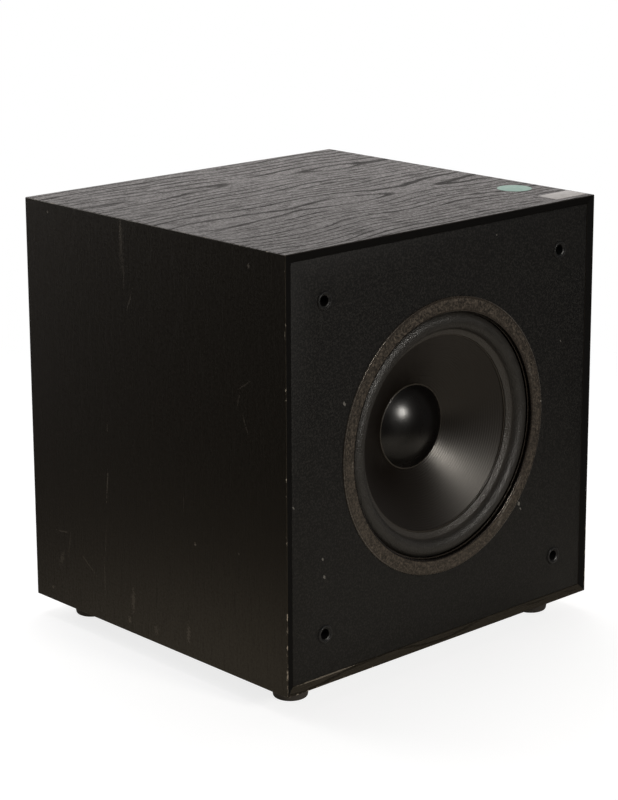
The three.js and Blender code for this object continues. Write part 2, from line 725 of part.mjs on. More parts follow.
addNode('trim_ring', trimRing(), 'gasket');
addNode('basket', basket(), 'paintedSteel');
addNode('surround', surround(), 'rubber');
addNode('cone', cone(), 'cone');
addNode('dust_cap', dustCap(), 'cap');
addNode('voice_coil', voiceCoil(), 'copper');
addNode('spider', spider(), 'cloth');
addNode('top_plate', ring(TOP_PLATE.inner, TOP_PLATE.outer, TOP_PLATE.front, TOP_PLATE.back), 'steel');
addNode('magnet', ring(MAGNET.inner, MAGNET.outer, MAGNET.front, MAGNET.back), 'ferrite');
addNode('back_plate', backPlate(), 'steel');
addNode('terminal_strip', terminalStrip(), 'board');

addNode('amp_plate', ampPlate(), 'paintedSteel');
addNode('amp_gasket', ampGasket(), 'foam');
plateScrewCentres().forEach(([x, z], i) => addNode(`amp_screw_${i + 1}`, ampScrew(x, z), 'steel'));
addNode('heat_sink', heatSink(), 'aluminium');
addNode('amp_board', ampBoard(), 'circuit');
addNode('filter_capacitor_1', filterCapacitor(-16), 'plastic');
addNode('filter_capacitor_2', filterCapacitor(16), 'plastic');
addNode('transformer', transformer(), 'tape');
addNode('level_pot', pot(LEVEL), 'steel');
addNode('level_knob', knob(LEVEL), 'plastic');
addNode('crossover_pot', pot(CROSSOVER), 'steel');
addNode('crossover_knob', knob(CROSSOVER), 'plastic');
addNode('phase_switch', phaseSwitch(), 'steel');
addNode('phase_slider', phaseSlider(), 'plastic');
addNode('power_switch', powerSwitch(), 'plastic');
addNode('power_rocker', powerRocker(), 'plastic');
addNode('mains_inlet', mainsInlet(), 'plastic');
addNode('line_jacks', lineJacks(), 'plastic');
addNode('speaker_terminals', speakerTerminals(), 'plastic');
leverCentres().forEach((x, i) => {
  addNode(`speaker_lever_${i + 1}`, speakerLever(x), i % 2 ? 'plastic' : 'redPlastic');
});
addNode('power_led', powerLed(), 'lens');

export default group;
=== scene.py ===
"""The look of a powered subwoofer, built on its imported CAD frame.

Metres; +Z is up, +X is to the right of someone facing the driver, and the driver faces -Y.
Profiles are written in millimetres and scaled by MM.
"""

from math import cos, pi, radians, sin, sqrt, tan

import bmesh
import bpy
import numpy as np
from mathutils import Matrix, Vector


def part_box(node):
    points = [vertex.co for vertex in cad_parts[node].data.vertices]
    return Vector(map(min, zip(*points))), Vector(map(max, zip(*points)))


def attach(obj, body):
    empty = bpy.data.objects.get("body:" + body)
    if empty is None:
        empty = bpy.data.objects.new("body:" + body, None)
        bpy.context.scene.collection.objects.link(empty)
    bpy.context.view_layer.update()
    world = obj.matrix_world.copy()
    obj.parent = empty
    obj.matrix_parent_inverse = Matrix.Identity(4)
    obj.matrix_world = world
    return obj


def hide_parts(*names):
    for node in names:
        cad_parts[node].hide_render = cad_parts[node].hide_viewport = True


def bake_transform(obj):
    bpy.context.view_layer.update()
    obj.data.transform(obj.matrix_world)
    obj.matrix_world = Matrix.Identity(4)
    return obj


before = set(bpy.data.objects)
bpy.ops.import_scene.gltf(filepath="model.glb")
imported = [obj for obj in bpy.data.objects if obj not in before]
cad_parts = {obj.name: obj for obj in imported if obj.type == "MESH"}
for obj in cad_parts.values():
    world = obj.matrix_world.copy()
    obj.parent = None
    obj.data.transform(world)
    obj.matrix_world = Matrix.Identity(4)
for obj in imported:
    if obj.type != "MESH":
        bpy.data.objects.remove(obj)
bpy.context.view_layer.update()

# ---- Sizes ----

MM = 0.001
HALF = -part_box("left_side_panel")[0].x
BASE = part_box("bottom_panel")[0].z
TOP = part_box("top_panel")[1].z
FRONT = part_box("top_panel")[0].y
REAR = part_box("rear_panel")[1].y
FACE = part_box("amp_plate")[1].y
MID = (BASE + TOP) / 2
CABINET_Y = (FRONT + REAR) / 2
HEIGHT = TOP - BASE

# In mm. Depths run back from the cabinet's front edge.
BAFFLE_SETBACK = 1.8
LIP = 7.6
WALL = 16.0
RING_R = 124.8
RING_HOLE_R = 111.0
SURROUND_DEPTH = 10.9
ROLL_CENTRE_R = 102.2
ROLL_R = 7.8
ROLL_SWEEP = radians(168)
BAND_OUTER = (93.6, 10.2)
BAND_INNER = (89.4, 12.8)
CONE_RIM_R = 94.3
CONE_RIM_DEPTH = 11.6
CONE_NECK_R = 26.3
CONE_NECK_DEPTH = 53.3
CONE_SLOPE = (CONE_NECK_DEPTH - CONE_RIM_DEPTH) / (CONE_RIM_R - CONE_NECK_R)
CAP_R = 37.2
CAP_HEIGHT = 14.0
CAP_RIM_DEPTH = 44.4
SOCKETS = {
    "upper_left": (-145.6, 145.3),
    "upper_right": (145.6, 145.3),
    "lower_left": (-145.6, -145.3),
    "lower_right": (145.6, -145.3),
}

# Segments of a large, a medium and a small turned piece, and the angle in degrees of a crisp edge.
LARGE = 160
MEDIUM = 64
SMALL = 32
SHARP = 38

# ---- Node kit ----


class Nodes:
    """A node tree, with a short call for each kind of node that it needs."""

    def __init__(self, tree, coordinates):
        self.nodes, self.links = tree.nodes, tree.links
        self.place = self.add("TexCoord", {}).outputs[coordinates]
        self.x, self.y, self.z = self.add("SeparateXYZ", {0: self.place}).outputs

    def feed(self, socket, value):
        """Links an output to a socket, or sets the socket to a plain value."""
        if isinstance(value, bpy.types.NodeSocket):
            self.links.new(value, socket)
        elif isinstance(value, tuple) and socket.type == "RGBA":
            socket.default_value = (*value, 1)
        else:
            socket.default_value = value

    def add(self, kind, values, **settings):
        """A new node, with its inputs fed by name or number, and its other settings."""
        node = self.nodes.new("ShaderNode" + kind)
        for name, value in settings.items():
            setattr(node, name, value)
        for socket, value in values.items():
            self.feed(node.inputs[socket], value)
        return node

    def math(self, operation, a, b=0.0):
        return self.add("Math", {0: a, 1: b}, operation=operation).outputs[0]

    def plus(self, a, b):
        return self.math("ADD", a, b)

    def minus(self, a, b):
        return self.math("SUBTRACT", a, b)

    def times(self, a, b):
        return self.math("MULTIPLY", a, b)

    def most(self, a, b):
        return self.math("MAXIMUM", a, b)

    def apart(self, a, b=0.0):
        return self.math("ABSOLUTE", self.minus(a, b))

    def vector(self, operation, a, b=(0.0, 0.0, 0.0)):
        node = self.add("VectorMath", {0: a, 1: b}, operation=operation)
        return node.outputs["Value" if operation in ("LENGTH", "DOT_PRODUCT") else "Vector"]

    def join(self, x, y):
        return self.add("CombineXYZ", {0: x, 1: y}).outputs[0]

    def stretch(self, scale, vector=None, offset=(0, 0, 0), turn=(0, 0, 0)):
        values = {"Vector": vector or self.place, "Scale": scale, "Location": offset, "Rotation": turn}
        return self.add("Mapping", values).outputs[0]

    def noise(self, scale, vector=None, detail=4.0, roughness=0.55):
        values = {"Vector": vector or self.place, "Scale": scale, "Detail": detail, "Roughness": roughness}
        return self.add("TexNoise", values).outputs["Fac"]

    def drawn(self, scale, vector=None, offset=(0, 0, 0), detail=3.0, roughness=0.55):
        """Noise with its own scale along each axis."""
        return self.noise(1.0, self.stretch(scale, vector, offset), detail, roughness)

    def cells(self, scale):
        return self.add("TexVoronoi", {"Vector": self.place, "Scale": scale}).outputs["Distance"]

    def ease(self, value, low, high, to_low=0.0, to_high=1.0):
        """Runs smoothly from to_low to to_high as value goes from low to high."""
        if low > high:
            low, high, to_low, to_high = high, low, to_high, to_low
        values = {"Value": value, "From Min": low, "From Max": high, "To Min": to_low, "To Max": to_high}
        return self.add("MapRange", values, interpolation_type="SMOOTHSTEP").outputs["Result"]

    def blend(self, factor, a, b):
        """Goes from colour a to colour b. 6 and 7 are the mix node's colour inputs."""
        return self.add("Mix", {0: factor, 6: a, 7: b}, data_type="RGBA").outputs[2]

    def blot(self, flat, centre, size, turn=0.0, ragged=0.0):
        """1 inside an oval on the flat coordinates, fading at its edge, which ragged breaks up."""
        shifted = self.vector("SUBTRACT", flat, (*centre, 0))
        level = self.stretch((1, 1, 1), shifted, turn=(0, 0, turn))
        reach = self.vector("LENGTH", self.stretch((1 / size[0], 1 / size[1], 0), level))
        return self.ease(self.plus(reach, ragged), 1.0, 0.7)

    def marks(self, flat, origin, sign, rows, ragged):
        """The strongest of several blots, whose places and leans run along or against the axes.

        A row is (across, up, half length, half width, lean in degrees, strength), in mm from origin.
        """
        found = 0.0
        for across, up, long, wide, lean, strength in rows:
            centre = (origin[0] + sign * across * MM, origin[1] + sign * up * MM)
            turn = radians(sign * lean)
            mark = self.blot(flat, centre, (wide * MM, long * MM), turn, ragged)
            found = self.most(found, self.times(mark, strength))
        return found


class Surface(Nodes):
    """A Principled material."""

    def __init__(self, name, gloss=0.5, **settings):
        self.material = bpy.data.materials.new(name)
        self.material.use_nodes = True
        super().__init__(self.material.node_tree, "Object")
        self.shader = self.nodes["Principled BSDF"]
        self.set("Specular IOR Level", gloss)
        for socket, value in settings.items():
            self.set(socket.replace("_", " "), value)

    def set(self, name, value):
        self.feed(self.shader.inputs[name], value)

    def bump(self, height, depth_mm, strength, under=None):
        values = {"Height": height, "Distance": depth_mm * MM, "Strength": strength}
        if under:
            values["Normal"] = under
        normal = self.add("Bump", values).outputs[0]
        self.set("Normal", normal)
        return normal

    def painted(self, colour, rough):
        """Sets what every look has, and gives the finished material."""
        self.set("Base Color", colour)
        self.set("Roughness", rough)
        return self.material


# ---- Camera and studio ----

CAMERA_AZIMUTH = radians(-42.86)
CAMERA_ELEVATION = radians(13.65)
CAMERA_ROLL = radians(-0.217)
CAMERA_DISTANCE = 5.712 * HEIGHT
CAMERA_OFFSET = (-0.004 * HEIGHT, 0.1894 * HEIGHT)
CAMERA_LENS = 105.5
CAMERA_SHIFT = -0.1


def add_camera():
    back = Vector((
        sin(CAMERA_AZIMUTH) * cos(CAMERA_ELEVATION),
        -cos(CAMERA_AZIMUTH) * cos(CAMERA_ELEVATION),
        sin(CAMERA_ELEVATION),
    ))
    level = Vector((0, 0, 1)).cross(back).normalized()
    right = (Matrix.Rotation(CAMERA_ROLL, 3, back) @ level).normalized()
    up = back.cross(right)
    target = Vector((0, CABINET_Y, MID))
    camera = bpy.data.objects.new("camera", bpy.data.cameras.new("camera"))
    axes = Matrix((right, up, back)).transposed()
    place = target + back * CAMERA_DISTANCE + right * CAMERA_OFFSET[0] + up * CAMERA_OFFSET[1]
    camera.matrix_world = Matrix.Translation(place) @ axes.to_4x4()
    camera.data.lens = CAMERA_LENS
    camera.data.shift_y = CAMERA_SHIFT
    bpy.context.collection.objects.link(camera)
    bpy.context.scene.camera = camera


def add_area_light(name, direction, distance, size, power, colour=(1, 1, 1), bounces=8):
    """A soft square light that looks at the middle of the driver."""
    aim = Vector((0, FRONT, MID))
    toward = Vector(direction).normalized()
    light = bpy.data.lights.new(name, "AREA")
    light.size = size
    light.energy = power
    light.color = colour
    light.cycles.max_bounces = bounces
    light.cycles.use_multiple_importance_sampling = bounces > 0
    lamp = bpy.data.objects.new(name, light)
    lamp.location = aim + toward * distance
    lamp.rotation_euler = toward.to_track_quat("Z", "Y").to_euler()
    bpy.context.collection.objects.link(lamp)


# Which way the white backdrop lies from the object, and how bright it and the room are.
BACKDROP = (0.68, 0.73, 0.1)
ROOM_GLOW = 0.06
BACKDROP_GLOW = 1.25


def add_world():
    """White where the camera sees it. What the object sees is a white backdrop behind it in a dim room."""
    world = bpy.data.worlds.new("studio")
    bpy.context.scene.world = world
    world.use_nodes = True
    world.node_tree.nodes.clear()
    w = Nodes(world.node_tree, "Generated")
    facing = w.vector("DOT_PRODUCT", w.place, BACKDROP)
    glow = w.ease(facing, 0.42, 0.9, ROOM_GLOW, BACKDROP_GLOW)
    room = w.add("Background", {"Color": (1, 0.95, 0.935), "Strength": glow})
    white = w.add("Background", {"Color": (1, 1, 1)})
    seen = w.add("LightPath", {}).outputs["Is Camera Ray"]
    mix = w.add("MixShader", {0: seen, 1: room.outputs[0], 2: white.outputs[0]})
    w.add("OutputWorld", {"Surface": mix.outputs[0]})


add_camera()
add_world()
add_area_light("key", (0.06, -0.94, 0.335), 2.4, 0.38, 27, (1, 0.96, 0.9), bounces=0)
add_area_light("overhead", (0.1, 0.35, 1.0), 2.2, 1.6, 26)
add_area_light("left_fill", (-1.0, -0.15, 0.35), 3.0, 1.6, 3, (1, 0.86, 0.72))
add_area_light("rear_fill", (-0.35, 1.0, 0.5), 3.0, 1.4, 22)
bpy.context.scene.view_settings.view_transform = "Standard"

# ---- Shape kit ----


def to_object(name, bm, sharp=SHARP):
    """A linked object from a bmesh, smooth except at edges sharper than the angle."""
    bmesh.ops.recalc_face_normals(bm, faces=bm.faces)
    mesh = bpy.data.meshes.new(name)
    bm.to_mesh(mesh)
    bm.free()
    obj = bpy.data.objects.new(name, mesh)
    bpy.context.collection.objects.link(obj)
    shade(obj, sharp)
    return obj


def shade(obj, sharp):
    bm = bmesh.new()
    bm.from_mesh(obj.data)
    for face in bm.faces:
        face.smooth = True
    for edge in bm.edges:
        edge.smooth = len(edge.link_faces) == 2 and edge.calc_face_angle() < radians(sharp)
    bm.to_mesh(obj.data)
    bm.free()


def rounded(points, closed=True, steps=4):
    """The path with each (a, b, radius) corner eased to that radius."""
    path = []
    count = len(points)
    for i, point in enumerate(points):
        corner = Vector(point[:2])
        radius = point[2] if len(point) > 2 else 0
        inner = closed or 0 < i < count - 1
        if not radius or not inner:
            path.append(tuple(corner))
            continue
        before = Vector(points[i - 1][:2]) - corner
        after = Vector(points[(i + 1) % count][:2]) - corner
        half_angle = before.angle(after) / 2
        cut = min(radius / tan(half_angle), 0.49 * before.length, 0.49 * after.length)
        start = corner + before.normalized() * cut
        end = corner + after.normalized() * cut
        for step in range(steps + 1):
            t = step / steps
            path.append(tuple(start * (1 - t) ** 2 + corner * (2 * t * (1 - t)) + end * t**2))
    return path


def sheet(path, thickness):
    """The closed outline of a sheet of even thickness whose middle follows the path."""
    sides = []
    for sign in (1, -1):
        side = []
        for i, point in enumerate(path):
            here = Vector(point)
            back = (here - Vector(path[i - 1])).normalized() if i else None
            ahead = (Vector(path[i + 1]) - here).normalized() if i < len(path) - 1 else back
            back = back or ahead
            normal = Vector((-(back.y + ahead.y), back.x + ahead.x)).normalized()
            reach = sign * thickness / 2 / max(normal.dot(Vector((-back.y, back.x))), 0.5)
            moved = here + normal * reach
            side.append((0.0 if point[0] == 0 else moved.x, moved.y))
        sides.append(side)
    return sides[0] + sides[1][::-1]


def turned(name, profile, x=0.0, z=MID, base=FRONT, segments=LARGE, upright=False, sharp=SHARP):
    """A closed (radius, distance) profile in mm, turned about the line along Y through (x, z).

    Distances run along +Y from base. With upright, the line is along Z through (x, z as y), from base.
    """
    bm = bmesh.new()
    rings = []
    for radius, distance in profile:
        along = base + distance * MM
        count = 1 if radius < 1e-6 else segments
        ring = []
        for i in range(count):
            angle = 2 * pi * i / segments
            a, b = radius * MM * cos(angle), radius * MM * sin(angle)
            ring.append(bm.verts.new((x + a, z + b, along) if upright else (x + a, along, z + b)))
        rings.append(ring)
    loops = list(zip(rings, rings[1:]))
    if len(rings[0]) > 1 and len(rings[-1]) > 1:
        loops.append((rings[-1], rings[0]))
    for one, two in loops:
        for i in range(segments):
            j = (i + 1) % segments
            corners = [one[i % len(one)], one[j % len(one)], two[j % len(two)], two[i % len(two)]]
            corners = list(dict.fromkeys(corners))
            if len(corners) > 2:
                bm.faces.new(corners)
    return to_object(name, bm, sharp)


def rectangle(x, z, w, h, radius=0.0):
    """A rectangle's outline in mm with rounded corners, centred on (x, z) in mm."""
    a, b = w / 2, h / 2
    corners = [(x - a, z - b), (x + a, z - b), (x + a, z + b), (x - a, z + b)]
    return rounded([(*corner, radius) for corner in corners], steps=5)


def skirt(bm, one, two):
    """A band of faces between two like loops of vertices."""
    for i in range(len(one)):
        j = (i + 1) % len(one)
        bm.faces.new((one[i], one[j], two[j], two[i]))


def prism(bm, low, high):
    """A solid between two like loops of points. Gives its two ends."""
    floor, roof = [[bm.verts.new(point) for point in loop] for loop in (low, high)]
    ends = [bm.faces.new(floor), bm.faces.new(roof)]
    skirt(bm, floor, roof)
    return ends


def slab(name, outline, low, high, ease=0.0, axis="y", base=None, steps=2):
    """An outline in mm made solid between two distances in mm from base, its rims eased.

    Along y the outline is (x, z from the cabinet's middle), and base is the plate's face.
    Along z it is (x, y from the cabinet's middle), and base is the cabinet's top.
    Along x it is (y from the plate's face, z from the cabinet's middle), and distances are x.
    """
    start = {"y": FACE, "z": TOP, "x": 0.0}[axis] if base is None else base

    def spot(a, b, along):
        c = start + along * MM
        if axis == "y":
            return (a * MM, c, MID + b * MM)
        if axis == "z":
            return (a * MM, CABINET_Y + b * MM, c)
        return (c, FACE + a * MM, MID + b * MM)

    bm = bmesh.new()
    ends = prism(bm, *[[spot(a, b, along) for a, b in outline] for along in (low, high)])
    bmesh.ops.recalc_face_normals(bm, faces=bm.faces)
    if ease:
        rims = list({edge for face in ends for edge in face.edges})
        bmesh.ops.bevel(bm, geom=rims, offset=ease * MM, segments=steps, profile=0.5, affect="EDGES")
    return to_object(name, bm)


def combine(obj, tools, operation="DIFFERENCE", sharp=SHARP):
    """Cuts the tools from obj, or joins them to it, and removes them."""
    for tool in tools:
        modifier = obj.modifiers.new("combine", "BOOLEAN")
        modifier.operation = operation
        modifier.object = tool
        modifier.solver = "EXACT"
    graph = bpy.context.evaluated_depsgraph_get()
    obj.data = bpy.data.meshes.new_from_object(obj.evaluated_get(graph))
    obj.modifiers.clear()
    for tool in tools:
        bpy.data.objects.remove(tool)
    shade(obj, sharp)
    return obj


def finish(obj, surface, slot, *nodes, body="cabinet"):
    """Gives a piece its material and body, and hides the CAD nodes that it stands for. The slot is not
    used.
    """
    obj.data.materials.clear()
    obj.data.materials.append(surface)
    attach(obj, body)
    if nodes:
        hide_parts(*nodes)
    return obj


def repaint(surface, *nodes):
    """Gives CAD nodes that stay a procedural material."""
    for node in nodes:
        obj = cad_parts[node]
        for material_slot in obj.material_slots:
            material_slot.material = surface


# ---- Materials: cabinet ----

PALE_CORE = (0.42, 0.37, 0.3)
WARM = (1, 0.88, 0.7)

# The grain: how far behind the origin the hearts of its two flame figures lie and how blunt they are,
# in mm, and how close the rings lie.
HEARTS = (83, -52)
HEART_WIDTH = 12
RINGS_PER_METRE = 92


def ash_vinyl(name, along, wear, tint, depth=1.0):
    """Black ash-grain film: printed growth rings and pressed pores that run along one axis.

    wear(surface) returns a mask of where the film is scuffed to its pale core.
    tint colours the gloss, and depth scales how much the growth rings show.
    """
    s = Surface(name, Specular_Tint=tint)
    if along == "x":
        run, inset = s.x, s.minus(s.z, TOP)
    else:
        run, inset = s.z, s.minus(s.apart(s.x), HALF)
    back = s.plus(s.y, inset)
    flat = s.join(run, back)
    sway = s.drawn((5.5, 4, 1), flat, (3.1, 0.35, 0), 1, 0.4)
    bunch = s.drawn((0.8, 24, 1), flat, (0.2, 0.6, 0), 1, 0.4)
    ripple = s.drawn((22, 60, 1), flat, detail=2)
    fibre = s.drawn((45, 900, 1), flat, roughness=0.65)
    hearts = [s.vector("LENGTH", s.join(s.minus(back, heart * MM), HEART_WIDTH * MM)) for heart in HEARTS]
    field = s.times(s.math("MINIMUM", *hearts), RINGS_PER_METRE)
    for shift, amount in ((sway, 6.0), (bunch, 2.4), (ripple, 0.45), (fibre, 0.35)):
        field = s.plus(field, s.times(shift, amount))
    rings = s.math("FRACT", field)
    line = s.times(s.ease(rings, 0.0, 0.06), s.ease(rings, 0.36, 0.07))
    faint = s.drawn((6, 24, 1), flat, (0.7, 0.1, 0), 2)
    line = s.times(line, s.ease(faint, 0.36, 0.58, 0.4, 1.15))
    dashes = s.ease(s.drawn((35, 620, 1), flat, (0.4, 0.2, 0)), 0.5, 0.6)
    cloud = s.noise(9.0, detail=3)
    mottle = s.noise(420.0, roughness=0.75)
    dark = s.plus(s.times(line, depth), s.times(dashes, 0.14 + 0.4 * depth))
    dark = s.math("MINIMUM", dark, 1.0)
    tone = s.blend(cloud, (0.0066, 0.0052, 0.0035), (0.0095, 0.0076, 0.0052))
    tone = s.blend(s.times(mottle, 0.5), tone, (0.014, 0.0115, 0.008))
    tone = s.blend(dark, tone, (0.004, 0.0032, 0.0022))
    worn = wear(s)
    rough = s.plus(s.ease(dark, 0, 1, 0.32, 0.82), s.ease(mottle, 0.35, 0.65, 0.0, 0.24))
    fine = s.bump(fibre, 0.05, 0.35 * depth)
    grooves = s.bump(s.minus(1.0, dark), 0.14, 0.8, fine)
    s.bump(s.minus(1.0, worn), 0.25, 0.8, grooves)
    return s.painted(s.blend(worn, tone, PALE_CORE), s.plus(rough, s.times(worn, 0.3)))


def chip_noise(s, scale, offset=0.0, drawn=(1, 1, 1)):
    return s.noise(scale, s.stretch(drawn, offset=(offset, offset, offset)), detail=3, roughness=0.7)


def edge_chips(s, distance_a, distance_b, amount, offset, drawn=(1, 1, 1)):
    """Small chips where two distances from an edge are both tiny. amount raises how many there are."""
    near = s.most(distance_a, distance_b)
    grain = s.plus(chip_noise(s, 260, offset, drawn), amount)
    return s.times(s.ease(near, 1.3 * MM, 0.5 * MM), s.ease(grain, 0.6, 0.67))


def side_wear(sign):
    """Wear of a side wall: chips down its front edge, more low down, and on the left side scuffs."""

    def wear(s):
        front = s.apart(s.y, FRONT)
        side = s.apart(s.x, sign * HALF)
        knee = BASE + 90 * MM
        amount = s.plus(s.ease(s.z, MID, knee, -0.03, 0.03), s.ease(s.z, knee, BASE, 0.0, 0.12))
        mask = edge_chips(s, front, side, amount, sign, (1, 1, 0.4))
        top = s.apart(s.z, TOP)
        mask = s.most(mask, edge_chips(s, top, side, -0.04, 2 * sign, (1, 0.4, 1)))
        if sign > 0:
            return mask
        grit = s.times(s.minus(chip_noise(s, 600, 0.3), 0.45), 4.0)
        return s.most(mask, s.marks(s.join(s.y, s.z), (REAR, TOP), -1, SIDE_MARKS, grit))

    return wear


# Marks on the left side, measured from its back and top edges. They lean toward the front.
SIDE_MARKS = [
    (139, 22, 25, 4.0, 1, 0.08), (139, 18, 20, 2.0, 1, 0.15), (138, 10, 12, 1.0, 0, 0.24),
    (141, 44, 22, 1.5, -1, 0.1), (149, 71, 10, 0.9, 22, 0.2), (298, 119, 11, 0.8, 57, 0.14),
    (292, 132, 8, 0.8, 17, 0.14), (300, 152, 12, 0.8, -23, 0.18), (113, 194, 6, 0.7, 0, 0.18),
    (111, 248, 17, 0.8, 6, 0.24), (107, 300, 16, 0.6, 5, 0.12), (104, 335, 20, 0.7, 0, 0.14),
    (43, 309, 11, 1.2, 84, 0.14), (52, 320, 14, 1.4, 12, 0.08), (40, 336, 9, 3.5, 20, 0.12),
    (82, 333, 16, 0.8, -56, 0.16), (145, 349, 13, 3.2, 4, 0.16), (139, 369, 4, 2.6, 0, 0.18),
    (177, 368, 5, 4.0, 0, 0.1), (222, 359, 10, 2.4, 0, 0.16), (33, 9, 1.5, 1.5, 0, 0.45),
    (233, 274, 1.6, 1.6, 0, 0.5), (306, 16, 2.4, 1.3, 0, 0.35), (218, 240, 7, 0.6, 0, 0.1),
    (25, 368, 2.2, 2.2, 0, 0.25), (290, 268, 1.3, 1.3, 0, 0.3),
]


def top_wear(s):
    """Wear of the top wall: chips along its left edge."""
    return edge_chips(s, s.apart(s.x, -HALF), s.apart(s.z, TOP), 0.0, 0.7)


def bottom_wear(s):
    """Wear of the bottom wall: chips along its front edge, most at the left end."""
    front = s.apart(s.y, FRONT)
    low = s.apart(s.z, BASE)
    chips = edge_chips(s, front, low, s.ease(s.x, 0.0, -HALF, -0.03, 0.06), 1.7)
    grit = s.times(s.minus(chip_noise(s, 500), 0.5), 1.2)
    centre = (-HALF + 48 * MM, BASE + (LIP - 0.4) * MM)
    rubbed = s.blot(s.join(s.x, s.z), centre, (36 * MM, 0.7 * MM), 0, grit)
    rubbed = s.times(rubbed, s.ease(front, 3 * MM, 2 * MM))
    return s.most(chips, s.times(rubbed, 0.35))


def pebbled_vinyl():
    """The baffle's black film: a fine even pebble, with a few pale flecks, and a painted reflection that
    grows lighter toward the bottom.
    """
    s = Surface("baffle_film", 0.25)
    pebble = s.cells(620.0)
    grain = s.noise(560.0, roughness=0.75)
    cloud = s.noise(12.0, detail=3)
    tone = s.blend(cloud, (0.001, 0.0009, 0.0008), (0.003, 0.0028, 0.0025))
    tone = s.blend(s.ease(grain, 0.45, 0.62), tone, (0.0195, 0.0185, 0.0168))
    # Painted reflection: the tone grows lighter toward the bottom, standing in for the pale floor mirrored
    # in the lower baffle.
    dust_and_painted_glow = s.ease(s.z, MID + 60 * MM, MID - 150 * MM, 0.0, 0.3)
    tone = s.blend(dust_and_painted_glow, tone, (0.021, 0.02, 0.018))
    flat = s.join(s.x, s.z)
    grit = s.times(s.minus(chip_noise(s, 900, 0.3), 0.5), 2.0)
    flecks = 0.0
    for across, up, size in BAFFLE_FLECKS:
        blot = s.blot(flat, (across * MM, MID + up * MM), (size * MM, size * 1.6 * MM), -0.5, grit)
        flecks = s.most(flecks, blot)
    tone = s.blend(s.times(flecks, 0.3), tone, (0.5, 0.48, 0.44))
    s.bump(pebble, 0.14, 0.8, s.bump(grain, 0.08, 0.6))
    return s.painted(tone, s.plus(0.5, s.times(grain, 0.25)))


# Pale flecks on the baffle: across and up from the driver's centre, and radius.
BAFFLE_FLECKS = [
    (-122.8, 53.3, 1.5), (97.3, -84.0, 1.5), (99.5, -89, 0.9), (-148, -78, 1.0),
    (-146, -94, 1.2), (-181, -25, 1.1), (62, 171, 0.6), (150, 60, 0.6),
]


def satin_film(name, tone, rough=0.5, gloss=0.4):
    """A plain black film with a little cloud and grain."""
    s = Surface(name, gloss)
    cloud = s.noise(11.0, detail=3)
    grain = s.noise(900.0, detail=2)
    s.bump(grain, 0.06, 0.5)
    paler = tuple(1.5 * value for value in tone)
    return s.painted(s.blend(cloud, tone, paler), s.plus(rough, s.times(cloud, 0.15)))


def fibreboard():
    s = Surface("fibreboard", 0.2)
    fleck = s.noise(700.0, roughness=0.7)
    s.bump(fleck, 0.1, 0.5)
    tone = s.blend(fleck, (0.33, 0.22, 0.12), (0.52, 0.38, 0.23))
    return s.painted(tone, s.ease(fleck, 0, 1, 0.8, 0.95))


# ---- Materials: driver ----


def radius_of(s):
    """Distance from the driver's axis, in metres."""
    return s.vector("LENGTH", s.join(s.x, s.minus(s.z, MID)))


# Pale marks on the ring, measured from the driver's centre. They lean toward +X. Those along the inner
# edge, most low on the right, are partly rubbing and partly a painted highlight of that rounded edge; the
# last is a fleck.
RING_RUBS_AND_HIGHLIGHTS = [
    (80.6, -80.6, 22, 1.5, 45, 0.6), (95, -63, 12, 1.3, 33, 0.4), (70, -95, 7, 3.5, 52, 0.2),
    (107, 41, 9, 2.4, -20, 0.2), (-114, -4, 6, 1.8, 0, 0.25), (123.3, 8.3, 1.1, 1.1, 0, 0.9),
]


def grained_gasket():
    """The trim ring: grey-brown with a fine speckle. Pale marks low on its right are partly rubbing and
    partly a painted highlight on the rounded inner edge; a painted highlight runs along the outer edge at
    the sides, and a painted shadow darkens the inner edge.
    """
    s = Surface("ring_gasket", Specular_Tint=(1, 0.9, 0.8))
    speckle = s.noise(450.0, roughness=0.85)
    cloud = s.noise(40.0, detail=3)
    tone = s.blend(s.ease(speckle, 0.42, 0.6), (0.003, 0.0024, 0.0018), (0.094, 0.077, 0.06))
    tone = s.blend(s.times(cloud, 0.4), tone, (0.042, 0.035, 0.028))
    tone = s.blend(s.ease(speckle, 0.58, 0.68, 0.0, 0.5), tone, (0.17, 0.145, 0.115))
    grit = s.times(s.minus(chip_noise(s, 420, 0.1), 0.4), 4.5)
    # Partly real rubbing, partly painted highlight: the pale marks, strongest low on the right along the
    # inner edge.
    rub_and_highlight = s.marks(s.join(s.x, s.z), (0, MID), 1, RING_RUBS_AND_HIGHLIGHTS, grit)
    radius = radius_of(s)
    outer_rim = s.ease(radius, (RING_R - 2.5) * MM, (RING_R - 1.8) * MM)
    inner_rim = s.ease(radius, (RING_HOLE_R + 2.4) * MM, (RING_HOLE_R + 1.6) * MM)
    rim = s.most(outer_rim, inner_rim)
    tone = s.blend(rim, tone, (0.033, 0.027, 0.0215))
    # Painted shadow: a black band on the inner edge, for the shade in the gap between ring and roll,
    # reaching farther out on the left.
    shadow_reach = s.ease(s.x, 20 * MM, -50 * MM, 0.0, 0.9 * MM)
    wall = s.ease(s.minus(radius, shadow_reach), (RING_HOLE_R + 1) * MM, (RING_HOLE_R + 0.5) * MM)
    wall = s.times(wall, s.ease(radius, (RING_HOLE_R - 0.25) * MM, (RING_HOLE_R - 0.1) * MM))
    tone = s.blend(wall, tone, (0.004, 0.003, 0.0025))
    # Painted highlight: a pale broken line along the outer rounded edge, on the left and right sides.
    edge = s.ease(radius, (RING_R - 1.6) * MM, (RING_R - 1.1) * MM)
    edge = s.times(edge, s.ease(speckle, 0.42, 0.58, 0.3, 1.0))
    rub_and_highlight = s.most(rub_and_highlight, s.times(edge, s.ease(s.apart(s.x), 30 * MM, 90 * MM, 0.0, 0.16)))
    rough = s.times(s.ease(speckle, 0.2, 0.8, 0.42, 0.62), s.ease(rim, 0, 1, 1.0, 0.5))
    s.bump(s.times(s.minus(speckle, 0.5), s.ease(rim, 0, 1, 1.0, 0.1)), 0.15, 0.9)
    return s.painted(s.blend(rub_and_highlight, tone, (0.36, 0.34, 0.3)), rough)


